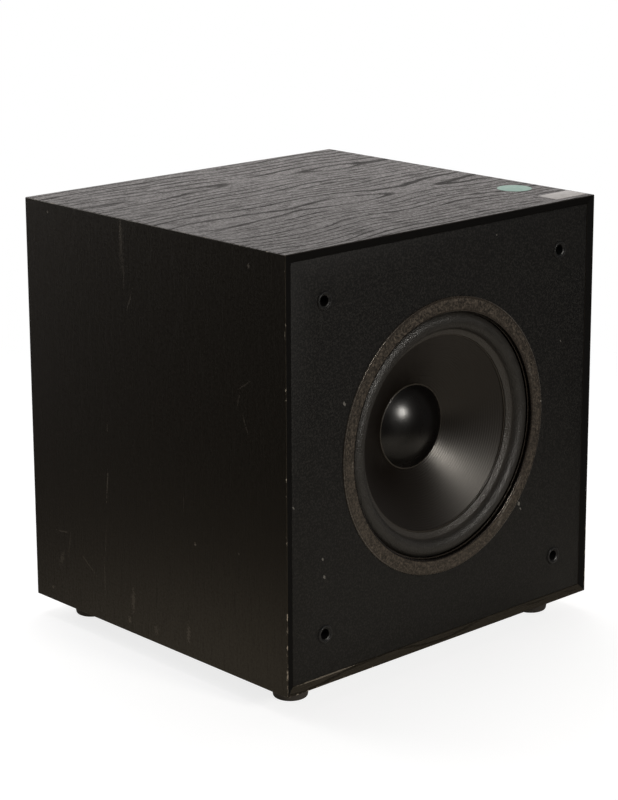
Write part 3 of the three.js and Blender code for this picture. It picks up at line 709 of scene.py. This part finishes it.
def sheen_rubber():
    """The surround: dark grey rubber with a soft broad sheen and a very fine pebble."""
    s = Surface("surround_rubber")
    pebble = s.cells(700.0)
    dust_and_painted_glow = s.noise(60.0, roughness=0.65)
    tone = s.blend(dust_and_painted_glow, (0.014, 0.0128, 0.011), (0.03, 0.0275, 0.024))
    band = s.ease(radius_of(s), 95.2 * MM, 94.2 * MM)
    tone = s.blend(s.times(band, 0.6), tone, (0.06, 0.054, 0.047))
    fleck = s.noise(620.0, roughness=0.8)
    tone = s.blend(s.ease(fleck, 0.56, 0.7, 0.0, 0.5), tone, (0.085, 0.078, 0.068))
    s.bump(pebble, 0.42, 0.8)
    dull = s.ease(dust_and_painted_glow, 0.2, 0.8, 0.34, 0.48)
    return s.painted(tone, s.plus(dull, s.ease(fleck, 0.35, 0.65, -0.1, 0.13)))


def turned_plastic():
    """The cone: black-brown plastic with very fine concentric lines."""
    s = Surface("cone_plastic", Specular_Tint=(1, 0.965, 0.91))
    radius = radius_of(s)
    lines = s.math("SINE", s.times(radius, 2 * pi / (1.9 * MM)))
    drift = s.noise(1.0, s.join(s.times(radius, 2600.0), 0.0), detail=3)
    cloud = s.noise(22.0, detail=3)
    tone = s.blend(cloud, (0.0044, 0.0031, 0.0022), (0.0066, 0.0047, 0.0034))
    tone = s.blend(s.times(drift, 0.4), tone, (0.013, 0.0096, 0.0072))
    outward = s.ease(radius, 40 * MM, 90 * MM, 0.28, 0.42)
    s.bump(drift, 0.03, 0.5, s.bump(lines, 0.05, 0.7))
    return s.painted(tone, s.plus(outward, s.ease(drift, 0.2, 0.8, -0.04, 0.08)))


def polished_cap():
    s = Surface("cap_gloss")
    haze = s.noise(50.0)
    dust_and_painted_glow = s.ease(s.noise(520.0, detail=3, roughness=0.7), 0.73, 0.78)
    tone = s.blend(s.times(dust_and_painted_glow, 0.2), (0.0022, 0.0016, 0.0012), (0.3, 0.28, 0.25))
    s.bump(haze, 0.05, 0.15)
    return s.painted(tone, s.ease(haze, 0.3, 0.7, 0.24, 0.3))


# The phase of the spider cloth's weave, in radians per metre.
WEAVE = 7000.0


def spider_cloth():
    s = Surface("spider_cloth", 0.2)
    weave = s.times(s.math("SINE", s.times(s.x, WEAVE)), s.math("SINE", s.times(s.z, WEAVE)))
    s.bump(weave, 0.08, 0.6)
    tone = s.blend(s.noise(80.0), (0.42, 0.29, 0.11), (0.58, 0.43, 0.2))
    return s.painted(tone, s.ease(weave, -1, 1, 0.75, 0.95))


# ---- Materials: metals and plastics ----


def metal(name, tone, rough, scratch=0.5):
    """Bare or plated metal with fine brushing and stains."""
    s = Surface(name, Metallic=1.0)
    brush = s.drawn((2600, 60, 2600))
    stain = s.noise(45.0)
    s.bump(brush, 0.02, scratch)
    stained = tuple(0.72 * value for value in tone)
    return s.painted(s.blend(stain, tone, stained), s.plus(rough, s.times(stain, 0.2)))


def powder_coat(name, tone=(0.012, 0.012, 0.013)):
    """Black powder coat with a fine orange peel."""
    s = Surface(name, 0.45)
    peel = s.noise(850.0, detail=2)
    cloud = s.noise(18.0, detail=3)
    s.bump(peel, 0.09, 0.6)
    paler = tuple(1.6 * value for value in tone)
    return s.painted(s.blend(cloud, tone, paler), s.plus(0.42, s.times(peel, 0.16)))


def moulded(name, tone, rough=0.4, grain=0.04):
    """Moulded plastic or rubber: a spark-eroded grain, and handling marks in its gloss."""
    s = Surface(name)
    spark = s.noise(1900.0, detail=2)
    handling = s.noise(120.0, roughness=0.7)
    s.bump(spark, grain, 0.6)
    paler = tuple(min(1.0, 1.35 * value + 0.002) for value in tone)
    return s.painted(s.blend(handling, tone, paler), s.plus(rough, s.times(handling, 0.18)))


def anodised():
    s = Surface("black_anodised", Metallic=0.6)
    draw = s.drawn((3000, 3000, 40))
    s.bump(draw, 0.03, 0.5)
    tone = s.blend(draw, (0.02, 0.02, 0.022), (0.04, 0.04, 0.043))
    return s.painted(tone, s.ease(draw, 0.2, 0.8, 0.36, 0.5))


def paper_label(name, tone, grime):
    """A blank sticker: a flat print, a little grime and a soft gloss."""
    s = Surface(name, 0.4)
    dirt = s.noise(260.0, detail=5, roughness=0.7)
    fade = s.noise(60.0, detail=3)
    tone = s.blend(s.ease(dirt, 0.45, 0.75, 0.0, 0.4), s.blend(fade, tone, grime), grime)
    s.bump(dirt, 0.03, 0.4)
    return s.painted(tone, s.ease(dirt, 0.3, 0.7, 0.4, 0.6))


VINYL_TOP = ash_vinyl("ash_top", "x", top_wear, (1, 0.95, 0.94))
VINYL_BOTTOM = ash_vinyl("ash_bottom", "x", bottom_wear, WARM)
VINYL_LEFT = ash_vinyl("ash_left", "z", side_wear(-1), WARM, 0.12)
VINYL_RIGHT = ash_vinyl("ash_right", "z", side_wear(1), WARM, 0.12)
BAFFLE = pebbled_vinyl()
REAR_FILM = satin_film("rear_film", (0.012, 0.0115, 0.011))
BOARD = fibreboard()
GASKET = grained_gasket()
SURROUND = sheen_rubber()
CONE = turned_plastic()
CAP = polished_cap()
SPIDER = spider_cloth()
GLUE = moulded("glue_bead", (0.03, 0.025, 0.019), 0.25, 0.01)
FOOT_RUBBER = moulded("foot_rubber", (0.036, 0.031, 0.026), 0.6, 0.08)
SOCKET_PLASTIC = moulded("socket_plastic", (0.006, 0.006, 0.006), 0.35)
SCREW_STEEL = metal("black_screw_steel", (0.09, 0.09, 0.095), 0.3)
PLATED_STEEL = metal("plated_steel", (0.6, 0.6, 0.57), 0.3)
NICKEL = metal("nickel", (0.72, 0.7, 0.66), 0.18, 0.3)
COPPER = metal("enamelled_copper", (0.6, 0.24, 0.1), 0.28)
FERRITE = moulded("ferrite", (0.03, 0.029, 0.029), 0.7, 0.12)
BASKET_COAT = powder_coat("basket_coat")
PLATE_COAT = powder_coat("plate_coat", (0.013, 0.013, 0.014))
HEAT_SINK = anodised()
FOAM = moulded("closed_cell_foam", (0.012, 0.012, 0.012), 0.85, 0.2)
KNOB = moulded("knob_plastic", (0.009, 0.009, 0.009), 0.3)
CONNECTOR = moulded("connector_plastic", (0.011, 0.011, 0.0115), 0.38)
RED = moulded("red_plastic", (0.35, 0.012, 0.012), 0.3)
LEVER_BLACK = moulded("lever_black", (0.01, 0.01, 0.01), 0.32)
WHITE_MARK = moulded("white_print", (0.6, 0.6, 0.57), 0.5)
LED_LENS = moulded("led_lens", (0.28, 0.01, 0.01), 0.08, 0.01)
BOARD_GREEN = moulded("solder_mask", (0.015, 0.09, 0.03), 0.3)
SLEEVE = moulded("capacitor_sleeve", (0.008, 0.01, 0.03), 0.25)
TAPE = moulded("winding_tape", (0.55, 0.33, 0.03), 0.3)

# ---- Cabinet ----

CORNER_R = 0.9
CORNER_STEPS = 3
GAP = 0.3
BAFFLE_THICKNESS = 19.0
REAR_THICKNESS = 16.0


def wall_section():
    """A wall's closed section: (inset from its outer face, depth behind the front edge), in mm."""
    depth = (REAR - FRONT) / MM
    front_step = BAFFLE_SETBACK + BAFFLE_THICKNESS + GAP
    rear_step = depth - REAR_THICKNESS - GAP
    return rounded([
        (0, 0, 0.5), (0.8, 0, 0.15), (LIP, BAFFLE_SETBACK, 0.25), (LIP, front_step), (WALL, front_step),
        (WALL, rear_step), (LIP, rear_step), (LIP, depth, 0.4), (0, depth, 0.5),
    ])


def build_wall(name, outward, along):
    """One wall, mitred at both ends, with its share of the rounded corners."""
    section = wall_section()
    half = HALF / MM
    out_axis, along_axis = Vector(outward), Vector(along)
    bm = bmesh.new()
    loops = []
    angles = [pi / 4 * i / CORNER_STEPS for i in range(CORNER_STEPS + 1)]
    stations = [(-1, angle) for angle in reversed(angles)] + [(1, angle) for angle in angles]
    for end, angle in stations:
        loop = []
        for inset, depth in section:
            curve = max(CORNER_R - inset, 0)
            straight = half - max(CORNER_R, inset)
            out = straight + curve * cos(angle)
            run = straight + curve * sin(angle)
            spot = Vector((0, FRONT + depth * MM, MID)) + (out_axis * out + along_axis * end * run) * MM
            loop.append(bm.verts.new(spot))
        loops.append(loop)
    for one, two in zip(loops, loops[1:]):
        skirt(bm, one, two)
    bm.faces.new(loops[0])
    bm.faces.new(loops[-1])
    bmesh.ops.remove_doubles(bm, verts=bm.verts, dist=1e-7)
    return to_object(name, bm, 30)


WALLS = [
    ("top_wall", (0, 0, 1), (1, 0, 0), VINYL_TOP, "top_panel"),
    ("right_wall", (1, 0, 0), (0, 0, 1), VINYL_RIGHT, "right_side_panel"),
    ("bottom_wall", (0, 0, -1), (1, 0, 0), VINYL_BOTTOM, "bottom_panel"),
    ("left_wall", (-1, 0, 0), (0, 0, 1), VINYL_LEFT, "left_side_panel"),
]
# Painted shade: a darker, duller film for the sloped front lips of the top and side walls, which face away
# from the light.
SHADED_LIP_FILM = satin_film("shaded_lip_film", (0.002, 0.0018, 0.0016), 0.62, 0.12)


def paint_lip_shade(wall):
    """Gives the wall's sloped front lip a darker, duller film as painted shade, for a lip that faces away
    from the light.
    """
    wall.data.materials.append(SHADED_LIP_FILM)
    for face in wall.data.polygons:
        depth = (face.center.y - FRONT) / MM
        if 0.2 < depth < BAFFLE_SETBACK and face.normal.y < -0.9:
            face.material_index = 1


for wall_name, outward, along, vinyl, node in WALLS:
    wall = finish(build_wall(wall_name, outward, along), vinyl, "cabinet_vinyl", node)
    # Painted shade: every lip but the bottom one, which faces the light, gets the darker film.
    if node != "bottom_panel":
        paint_lip_shade(wall)


def drill(radius, low, high):
    """The profile of a plain round cutter."""
    return [(0, low), (radius, low), (radius, high), (0, high)]


def build_baffle():
    """The baffle, with a soft outer edge, the driver's stepped cut-out and the socket holes."""
    side = 2 * (HALF / MM - LIP) - 0.5
    face = BAFFLE_SETBACK
    board = slab("baffle", rectangle(0, 0, side, side), face, face + BAFFLE_THICKNESS, 0.5, base=FRONT)
    holes = [turned("seat", drill(RING_R + 0.08, -5, 7.3)), turned("cut_out", drill(116.8, -5, 30))]
    for x, z in SOCKETS.values():
        holes.append(turned("socket_hole", drill(6.2, -5, 30), x * MM, MID + z * MM, segments=SMALL))
    return combine(board, holes)


finish(build_baffle(), BAFFLE, "baffle_vinyl", "front_baffle")
repaint(REAR_FILM, "rear_panel")
repaint(BOARD, "cross_brace", "terminal_strip")

# ---- Stickers on the top ----

DOT_PLACE = (161, -104)
DOT_R = 16
LABEL = rectangle(167.5, -156.5, 41, 23, 1.2)
MINT = paper_label("mint_sticker", (0.15, 0.31, 0.25), (0.24, 0.36, 0.31))
CREAM = paper_label("white_sticker", (0.46, 0.44, 0.425), (0.28, 0.265, 0.25))

dot = turned(
    "round_sticker", rounded([(0, 0), (DOT_R, 0), (DOT_R, 0.14, 0.05), (0, 0.14)], closed=False),
    DOT_PLACE[0] * MM, CABINET_Y + DOT_PLACE[1] * MM, TOP, MEDIUM, upright=True,
)
finish(dot, MINT, "cabinet_vinyl")
finish(slab("blank_label", LABEL, 0, 0.14, 0.04, axis="z"), CREAM, "cabinet_vinyl")

# ---- Grille sockets and feet ----

SOCKET_PROFILE = rounded([
    (0, 16.3), (4.6, 16.3), (4.6, 1.7, 0.3), (5.8, 0.95, 0.3), (6.3, 0.35, 0.3), (7.4, 0.35, 0.7),
    (8.3, 1.75, 0.2), (6.0, 1.75), (6.0, 18), (0, 18),
], closed=False)
for place, (x, z) in SOCKETS.items():
    socket = turned(f"socket_{place}", SOCKET_PROFILE, x * MM, MID + z * MM, segments=MEDIUM)
    finish(socket, SOCKET_PLASTIC, "socket_plastic", f"grille_socket_{place}")

FOOT_H = BASE / MM
FOOT_PROFILE = rounded([
    (2.6, 9), (6, 9, 0.4), (6, 0, 0.6), (15.1, 0, 2.6), (16.6, FOOT_H - 4.4), (17.3, FOOT_H - 3.2, 0.5),
    (17.3, FOOT_H - 0.05, 0.5), (2.6, FOOT_H - 0.05),
])


def screw_head(profile, x, z, base, upright, slot_low, slot_high, name):
    """A turned screw with a cross recess between two distances from base."""
    screw = turned(name, profile, x, z, base, SMALL, upright)
    tools = []
    for w, d in ((4.4, 0.9), (0.9, 4.4)):
        bm = bmesh.new()
        bmesh.ops.create_cube(bm, size=1)
        length = (slot_high - slot_low) * MM
        middle = base + (slot_low + slot_high) / 2 * MM
        scale = (w * MM, d * MM, length) if upright else (w * MM, length, d * MM)
        place = (x, z, middle) if upright else (x, middle, z)
        bmesh.ops.scale(bm, vec=scale, verts=bm.verts)
        bmesh.ops.translate(bm, vec=place, verts=bm.verts)
        tools.append(to_object("cross", bm))
    return combine(screw, tools)


FOOT_SCREW_PROFILE = rounded([
    (0, 6.2), (2.4, 6.25, 0.8), (4.1, 7.4, 0.5), (4.1, 8.7), (1.9, 8.7), (1.9, FOOT_H + 10),
    (0, FOOT_H + 12),
], closed=False)
for corner in ("front_left", "front_right", "rear_left", "rear_right"):
    low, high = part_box(f"foot_{corner}")
    x, y = (low.x + high.x) / 2, (low.y + high.y) / 2
    foot = turned(f"round_foot_{corner}", FOOT_PROFILE, x, y, 0.0, MEDIUM, upright=True)
    finish(foot, FOOT_RUBBER, "foot_rubber", f"foot_{corner}")
    screw = screw_head(FOOT_SCREW_PROFILE, x, y, 0.0, True, 5, 7.6, f"pan_screw_{corner}")
    finish(screw, SCREW_STEEL, "screw_steel", f"foot_screw_{corner}")

# ---- Driver ----

RING_LIP_R = RING_HOLE_R - 0.9
RING_PROFILE = [
    (RING_HOLE_R, 9.9), (RING_HOLE_R, 5.6), (RING_LIP_R, 5.6, 0.4), (RING_LIP_R, 4.5, 0.4),
    (RING_HOLE_R, 4.5), (RING_HOLE_R, 0.6, 1.7), (RING_R, 0.6, 1.0), (RING_R, 4.7), (114.2, 4.7),
    (114.2, 9.9),
]
ring = turned("ring", rounded(RING_PROFILE, steps=6))
finish(ring, GASKET, "ring_gasket", "trim_ring")
repaint(BASKET_COAT, "basket")


def follow_inner_edge(obj, surface, node):
    """Finishes a ring: gives it its material, hides its CAD node and bakes its placement into its mesh."""
    obj.data.materials.append(surface)
    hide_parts(node)
    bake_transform(obj)


def build_surround():
    """The surround: a flat edge, one round roll, and a band that slopes down onto the cone."""
    path = [(113.6, SURROUND_DEPTH), (111.2, SURROUND_DEPTH)]
    steps = 22
    for i in range(steps + 1):
        angle = ROLL_SWEEP * i / steps
        path.append((ROLL_CENTRE_R + ROLL_R * cos(angle), SURROUND_DEPTH - ROLL_R * sin(angle)))
    middle = [(a + b) / 2 for a, b in zip(BAND_OUTER, BAND_INNER)]
    path += [BAND_OUTER, tuple(middle), BAND_INNER]
    return turned("surround_roll", sheet(path, 1.2), sharp=60)


follow_inner_edge(build_surround(), SURROUND, "surround")


def on_cone(radius):
    """Depth in mm of the middle of the cone's sheet at a radius."""
    return CONE_RIM_DEPTH + (CONE_RIM_R - radius) * CONE_SLOPE


cone_path = []
for i in range(25):
    radius = CONE_RIM_R + (CONE_NECK_R - CONE_RIM_R) * i / 24
    cone_path.append((radius, on_cone(radius)))
cone = turned("cone_body", sheet(cone_path, 1.4), segments=192, sharp=30)
finish(cone, CONE, "cone_polypropylene", "cone", body="cone_assembly")


def build_cap():
    """The dust cap: a dome with a thin flange that sits on the cone."""
    dome_r = (CAP_R**2 + CAP_HEIGHT**2) / (2 * CAP_HEIGHT)
    centre = CAP_RIM_DEPTH - CAP_HEIGHT + dome_r
    path = []
    for i in range(25):
        r = (CAP_R - 0.5) * i / 24
        path.append((r, centre - sqrt(dome_r**2 - r**2)))
    path.append((CAP_R + 0.2, CAP_RIM_DEPTH + 0.1))
    return turned("cap_dome", sheet(path, 0.9), segments=128, sharp=50)


finish(build_cap(), CAP, "cap_gloss", "dust_cap", body="cone_assembly")


def bead(name, radius, depth, size):
    """A fine run of glue around the cone's axis."""
    profile = [
        (radius + size * cos(angle), depth + size * sin(angle))
        for angle in (2 * pi * i / 12 for i in range(12))
    ]
    finish(turned(name, profile, segments=192, sharp=60), GLUE, "cap_gloss", body="cone_assembly")


bead("cap_glue", CAP_R + 0.8, CAP_RIM_DEPTH + 0.6, 0.95)
bead("cone_glue", BAND_INNER[0] - 0.7, on_cone(BAND_INNER[0] - 0.7) - 1.2, 0.75)

SPIDER_DEPTH = 59.7
SPIDER_SPAN = 28
PLEATS_OUTER = 58
PLEATS_INNER = 28.6
PLEAT_HEIGHT = 1.7
PLEAT_PITCH = 5.6


def build_spider():
    """The spider: a flat edge, even pleats, and a flat collar round the coil's former."""
    path = [(66, SPIDER_DEPTH + 0.6), (59, SPIDER_DEPTH + 0.6)]
    for i in range(61):
        run = i * SPIDER_SPAN / 60
        rise = PLEAT_HEIGHT * sin(2 * pi * run / PLEAT_PITCH)
        path.append((PLEATS_OUTER - run, SPIDER_DEPTH + rise))
    path += [(PLEATS_INNER, SPIDER_DEPTH), (25.9, SPIDER_DEPTH)]
    return turned("spider_disc", sheet(path, 0.7), segments=96, sharp=60)


follow_inner_edge(build_spider(), SPIDER, "spider")

repaint(COPPER, "voice_coil")
repaint(PLATED_STEEL, "top_plate", "back_plate", "level_pot", "crossover_pot", "phase_switch")
repaint(FERRITE, "magnet")

# ---- Plate amplifier ----

LEVEL = (62, 18)
CROSSOVER = (18, 18)
PHASE = (-24, 18)
LED = (-60, 18)
ROCKER = (-62, -58)
INLET = (-62, -96)
JACKS = (60, -30)
TERMINALS = (40, -84)
LEVER_X = [16, 32, 48, 64]


def on_plate(name, profile, x, z, segments=SMALL, sharp=SHARP):
    """A profile turned about a point of the plate's face, in mm from the cabinet's middle."""
    return turned(name, profile, x * MM, MID + z * MM, FACE, segments, sharp=sharp)


def hole(x, z, radius, low=-8, high=8, segments=SMALL):
    return on_plate("hole", drill(radius, low, high), x, z, segments)


def window(x, z, w, h, radius=0.6, low=-8, high=8):
    return slab("window", rectangle(x, z, w, h, radius), low, high)


plate = slab("plate", rectangle(0, 0, 210, 260, 4), -3, 0, 0.6)
plate_screws = [(x, z) for z in (-124, 0, 124) for x in (-99, 99)]
combine(plate, [hole(x, z, 2.3) for x, z in plate_screws] + [
    hole(*LEVEL, 4.2), hole(*CROSSOVER, 4.2), hole(*LED, 2.7),
    window(*PHASE, 12, 5), window(*ROCKER, 16.4, 24.4), window(*INLET, 28, 20.2),
    window(*JACKS, 30.4, 10.4), window(*TERMINALS, 64.4, 20.4),
])
finish(plate, PLATE_COAT, "amp_paint", "amp_plate")
repaint(FOAM, "amp_gasket")

AMP_SCREW_PROFILE = rounded([
    (0, 2.8), (2.2, 2.7, 1), (4, 1.3, 0.5), (4, 0.3), (1.9, 0.3), (1.9, -14), (0, -17),
], closed=False)
for i, (x, z) in enumerate(plate_screws):
    screw = screw_head(AMP_SCREW_PROFILE, x * MM, MID + z * MM, FACE, False, 1.4, 4, f"plate_screw_{i + 1}")
    finish(screw, SCREW_STEEL, "screw_steel", f"amp_screw_{i + 1}")

FINS = 13
SINK_WIDTH = 150
SINK_BASE = 4.3
SINK_ENDS = (48, 118)
FIN_TIP = 22.3
FIN_ROOT = 1.8


def build_heat_sink():
    """An extruded sink: a base with slightly tapered fins, cut to length along Z."""
    half, root = SINK_WIDTH / 2, FIN_ROOT / 2
    outline = [(-half, GAP)]
    for i in range(FINS):
        x = -half + root + i * (SINK_WIDTH - FIN_ROOT) / (FINS - 1)
        outline += [
            (x - root, SINK_BASE), (x - 0.6, FIN_TIP - 0.5, 0.3), (x - 0.3, FIN_TIP), (x + 0.3, FIN_TIP),
            (x + 0.6, FIN_TIP - 0.5, 0.3), (x + root, SINK_BASE),
        ]
    outline.append((half, GAP))
    path = rounded(outline, steps=1)
    bm = bmesh.new()
    prism(bm, *[[(a * MM, FACE + b * MM, MID + z * MM) for a, b in path] for z in SINK_ENDS])
    return to_object("finned_sink", bm, 25)


finish(build_heat_sink(), HEAT_SINK, "heat_sink_aluminium", "heat_sink")


def build_knob(name, x, z, body):
    """A fluted knob with a dished face, and its raised pointer line."""
    profile = rounded([
        (3.3, 9.6), (3.3, 1), (10.8, 1, 0.3), (11, 1.6), (10.4, 13.6, 0.9), (8.6, 14.6, 0.5),
        (7.4, 14.1), (0, 13.7), (0, 9.6),
    ], closed=False)
    knob = on_plate(name, profile, x, z, MEDIUM)
    flutes = []
    for i in range(18):
        angle = 2 * pi * (i + 0.5) / 18
        flute = hole(x + 11.3 * cos(angle), z + 11.3 * sin(angle), 0.95, 3.6, 16, 12)
        flutes.append(flute)
    combine(knob, flutes, sharp=45)
    finish(knob, KNOB, "knob_plastic", body, body=body)
    line = slab(f"{name}_pointer", rectangle(x, z + 7, 1.1, 5.6, 0.4), 13.6, 15.3, 0.15)
    finish(line, WHITE_MARK, "knob_plastic", body=body)


build_knob("level_dial", *LEVEL, "level_knob")
build_knob("crossover_dial", *CROSSOVER, "crossover_knob")

TICK_START = 13.4
LONG_TICK = 3.4
SHORT_TICK = 2.2
TICK_HALF_WIDTH = 0.35
PRINT = Vector((0, 0.08 * MM, 0))


def build_scale(name, x, z):
    """Eleven printed ticks round a knob, over 300 degrees."""
    centre = Vector((x * MM, FACE, MID + z * MM))
    bm = bmesh.new()
    for i in range(11):
        angle = radians(-60 + 30 * i)
        out = Vector((cos(angle), 0, sin(angle)))
        across = Vector((-sin(angle), 0, cos(angle)))
        start = TICK_START
        end = start + (SHORT_TICK if i % 5 else LONG_TICK)
        corners = [
            centre + (out * r + across * side * TICK_HALF_WIDTH) * MM
            for r, side in ((start, -1), (end, -1), (end, 1), (start, 1))
        ]
        prism(bm, corners, [corner + PRINT for corner in corners])
    finish(to_object(name, bm), WHITE_MARK, "amp_paint")


build_scale("level_scale", *LEVEL)
build_scale("crossover_scale", *CROSSOVER)

slider = slab("slider_tab", rectangle(PHASE[0] - 3, PHASE[1], 5, 4.2, 0.4), -7, 3, 0.3)
finish(slider, KNOB, "knob_plastic", "phase_slider", body="phase_slider")



def flanged(name, spot, flange, high, ease, shell, low, steps=2):
    """A flange on the plate with a shell behind it. Both are (width, height, corner radius)."""
    body = slab(name, rectangle(*spot, *flange), GAP, high, ease, steps=steps)
    return combine(body, [slab("shell", rectangle(*spot, *shell), low, 1)], "UNION")


switch = flanged("switch_bezel", ROCKER, (21, 29, 2), 2.4, 0.7, (16, 24, 0.5), -17, 3)
combine(switch, [slab("well", rectangle(*ROCKER, 12.6, 21.4, 0.8), -9, 6)])
finish(switch, CONNECTOR, "knob_plastic", "power_switch")


def build_rocker():
    """The rocker, resting with its top pressed in: a hollow face between two crowns."""
    hollow = [(3.1 + 1.2 * (t / 8) ** 2, t) for t in (-7, -4, 0, 4, 7)]
    back = [(0, 9.4), (-4.6, 4, 1), (-4.6, -4, 1), (0, -9.4)]
    outline = rounded([(4.3, -9.6, 0.6), *hollow, (4.3, 9.6, 0.6), *back])
    tilt = radians(8)
    spun = [
        (out * cos(tilt) - up * sin(tilt), ROCKER[1] + out * sin(tilt) + up * cos(tilt))
        for out, up in outline
    ]
    return slab("rocker", spun, ROCKER[0] - 6, ROCKER[0] + 6, 0.4, axis="x")


finish(build_rocker(), KNOB, "knob_plastic", "power_rocker", body="power_rocker")

inlet = flanged("inlet_flange", INLET, (33, 25, 3), 2.8, 0.7, (27.6, 19.8, 1), -17, 3)
ix, iz = INLET
well_outline = rounded([
    (ix - 12.2, iz - 8.2, 1.2), (ix + 12.2, iz - 8.2, 1.2), (ix + 12.2, iz + 3.4, 1),
    (ix + 7.4, iz + 8.2, 1), (ix - 7.4, iz + 8.2, 1), (ix - 12.2, iz + 3.4, 1),
])
combine(inlet, [slab("well", well_outline, -14.2, 5)])
finish(inlet, CONNECTOR, "inlet_plastic", "mains_inlet")
for i, (dx, dz) in enumerate([(-7, -2.2), (7, -2.2), (0, 2.2)]):
    blade = slab(f"inlet_blade_{i + 1}", rectangle(ix + dx, iz + dz, 2, 4, 0.3), -14.3, -2.7, 0.4)
    finish(blade, NICKEL, "pot_steel")

jacks = flanged("jack_base", JACKS, (38, 17, 2), 2, 0.5, (30, 10, 0.5), -12)
finish(jacks, CONNECTOR, "inlet_plastic", "line_jacks")
JACK_SHELL = rounded([
    (3.3, 2), (5.4, 2), (5.4, 3.3, 0.3), (4.15, 3.5), (4.15, 11, 0.4), (3.3, 11, 0.2),
])
JACK_CORE = rounded([(1.6, 2), (3.25, 2), (3.25, 10.4, 0.3), (1.6, 10.4, 0.3)])
for side, dx, colour in (("left", 9, WHITE_MARK), ("right", -9, RED)):
    spot = (JACKS[0] + dx, JACKS[1])
    finish(on_plate(f"jack_shell_{side}", JACK_SHELL, *spot), NICKEL, "pot_steel")
    finish(on_plate(f"jack_core_{side}", JACK_CORE, *spot), colour, "inlet_plastic")

tx, tz = TERMINALS
terminals = slab("terminal_base", rectangle(tx, tz, 76, 34, 3), 0.3, 2.4, 0.6)
combine(terminals, [
    slab("housing", rectangle(tx, tz, 68, 28, 1.5), 1, 11, 0.7),
    slab("shell", rectangle(tx, tz, 64, 20, 0.5), -12, 1.5),
], "UNION")
combine(terminals, [window(x, tz + 4, 13, 16, 0.5, 2.6, 14) for x in LEVER_X] + [
    hole(x, tz - 9, 1.8, 4, 14) for x in LEVER_X
])
finish(terminals, CONNECTOR, "inlet_plastic", "speaker_terminals")

LEVER_OUTLINE = rounded([
    (7, -7.4, 0.4), (11.4, -7.4, 0.8), (12.6, -5.6, 0.6), (13.1, 0), (13.4, 4.4, 1), (12.6, 7.2, 0.8),
    (8.6, 7.2, 0.5), (6.2, -5, 0.5),
])
for i, x in enumerate(LEVER_X):
    outline = [(out, tz + 4 + up) for out, up in LEVER_OUTLINE]
    lever = slab(f"lever_{i + 1}", outline, x - 6.1, x + 6.1, 0.5, axis="x")
    colour, slot = (LEVER_BLACK, "lever_black") if i % 2 else (RED, "lever_red")
    finish(lever, colour, slot, f"speaker_lever_{i + 1}", body=f"speaker_lever_{i + 1}")

LED_PROFILE = rounded([(0, -9), (2.5, -9), (2.5, 0.9, 0.2), (2.4, 2.4, 1.6), (0, 3.2)], closed=False)
finish(on_plate("led_dome", LED_PROFILE, *LED, sharp=60), LED_LENS, "led_lens", "power_led")

repaint(BOARD_GREEN, "amp_board")
repaint(SLEEVE, "filter_capacitor_1", "filter_capacitor_2")
repaint(TAPE, "transformer")

# ---- Floor ----

# How strongly the floor glows toward the object: in front of it, left of the front, and close by.
FLOOR_AHEAD = 0.24
FLOOR_PATCH = 0.3
FLOOR_NEAR = 0.2
FLOOR_HALF = 3.0


def add_floor():
    """A pale floor that fades into the white backdrop. The object sees it only near by."""
    mesh = bpy.data.meshes.new("floor")
    corners = [(x * FLOOR_HALF, y * FLOOR_HALF, 0) for x, y in ((-1, -1), (1, -1), (1, 1), (-1, 1))]
    mesh.from_pydata(corners, [], [(0, 1, 2, 3)])
    floor = bpy.data.objects.new("floor", mesh)
    bpy.context.collection.objects.link(floor)
    s = Surface("pale_floor", 0.0, Roughness=1.0)
    seen = s.add("LightPath", {}).outputs["Is Camera Ray"]
    gap = s.minus(s.most(s.apart(s.x), s.apart(s.y)), HALF)
    near = s.ease(gap, 0.33, 0.03)
    lit = s.blend(near, (0.03, 0.026, 0.022), (0.6, 0.56, 0.49))
    lit = s.blend(s.ease(s.y, -0.1, 0.2), lit, (0.1, 0.09, 0.08))
    s.set("Base Color", s.blend(seen, lit, (0.35, 0.35, 0.35)))
    ahead = s.times(s.ease(s.y, FRONT - 0.6, FRONT - 0.35), s.ease(s.y, FRONT - 0.08, FRONT - 0.2))
    ahead = s.times(ahead, s.times(s.ease(s.x, -0.5, -0.3), s.ease(s.x, 0.42, 0.22)))
    patch = s.blot(s.place, (-0.14, FRONT - 0.6), (0.26, 0.42))
    glow = s.plus(s.times(ahead, FLOOR_AHEAD), s.times(patch, FLOOR_PATCH))
    beside = s.times(near, s.ease(s.x, 0.1, -0.15, 0.35, 1.0))
    beside = s.times(beside, s.ease(s.y, 0.1, 0.3, 1.0, 0.55))
    glow = s.plus(glow, s.times(beside, FLOOR_NEAR))
    s.set("Emission Color", s.blend(seen, (1.0, 0.91, 0.77), (1.0, 1.0, 1.0)))
    unseen = s.times(glow, s.minus(1.0, seen))
    s.set("Emission Strength", s.plus(unseen, s.times(seen, 0.8)))
    s.set("Alpha", s.ease(s.vector("LENGTH", s.place), 1.1, 0.4))
    floor.data.materials.append(s.material)


add_floor()
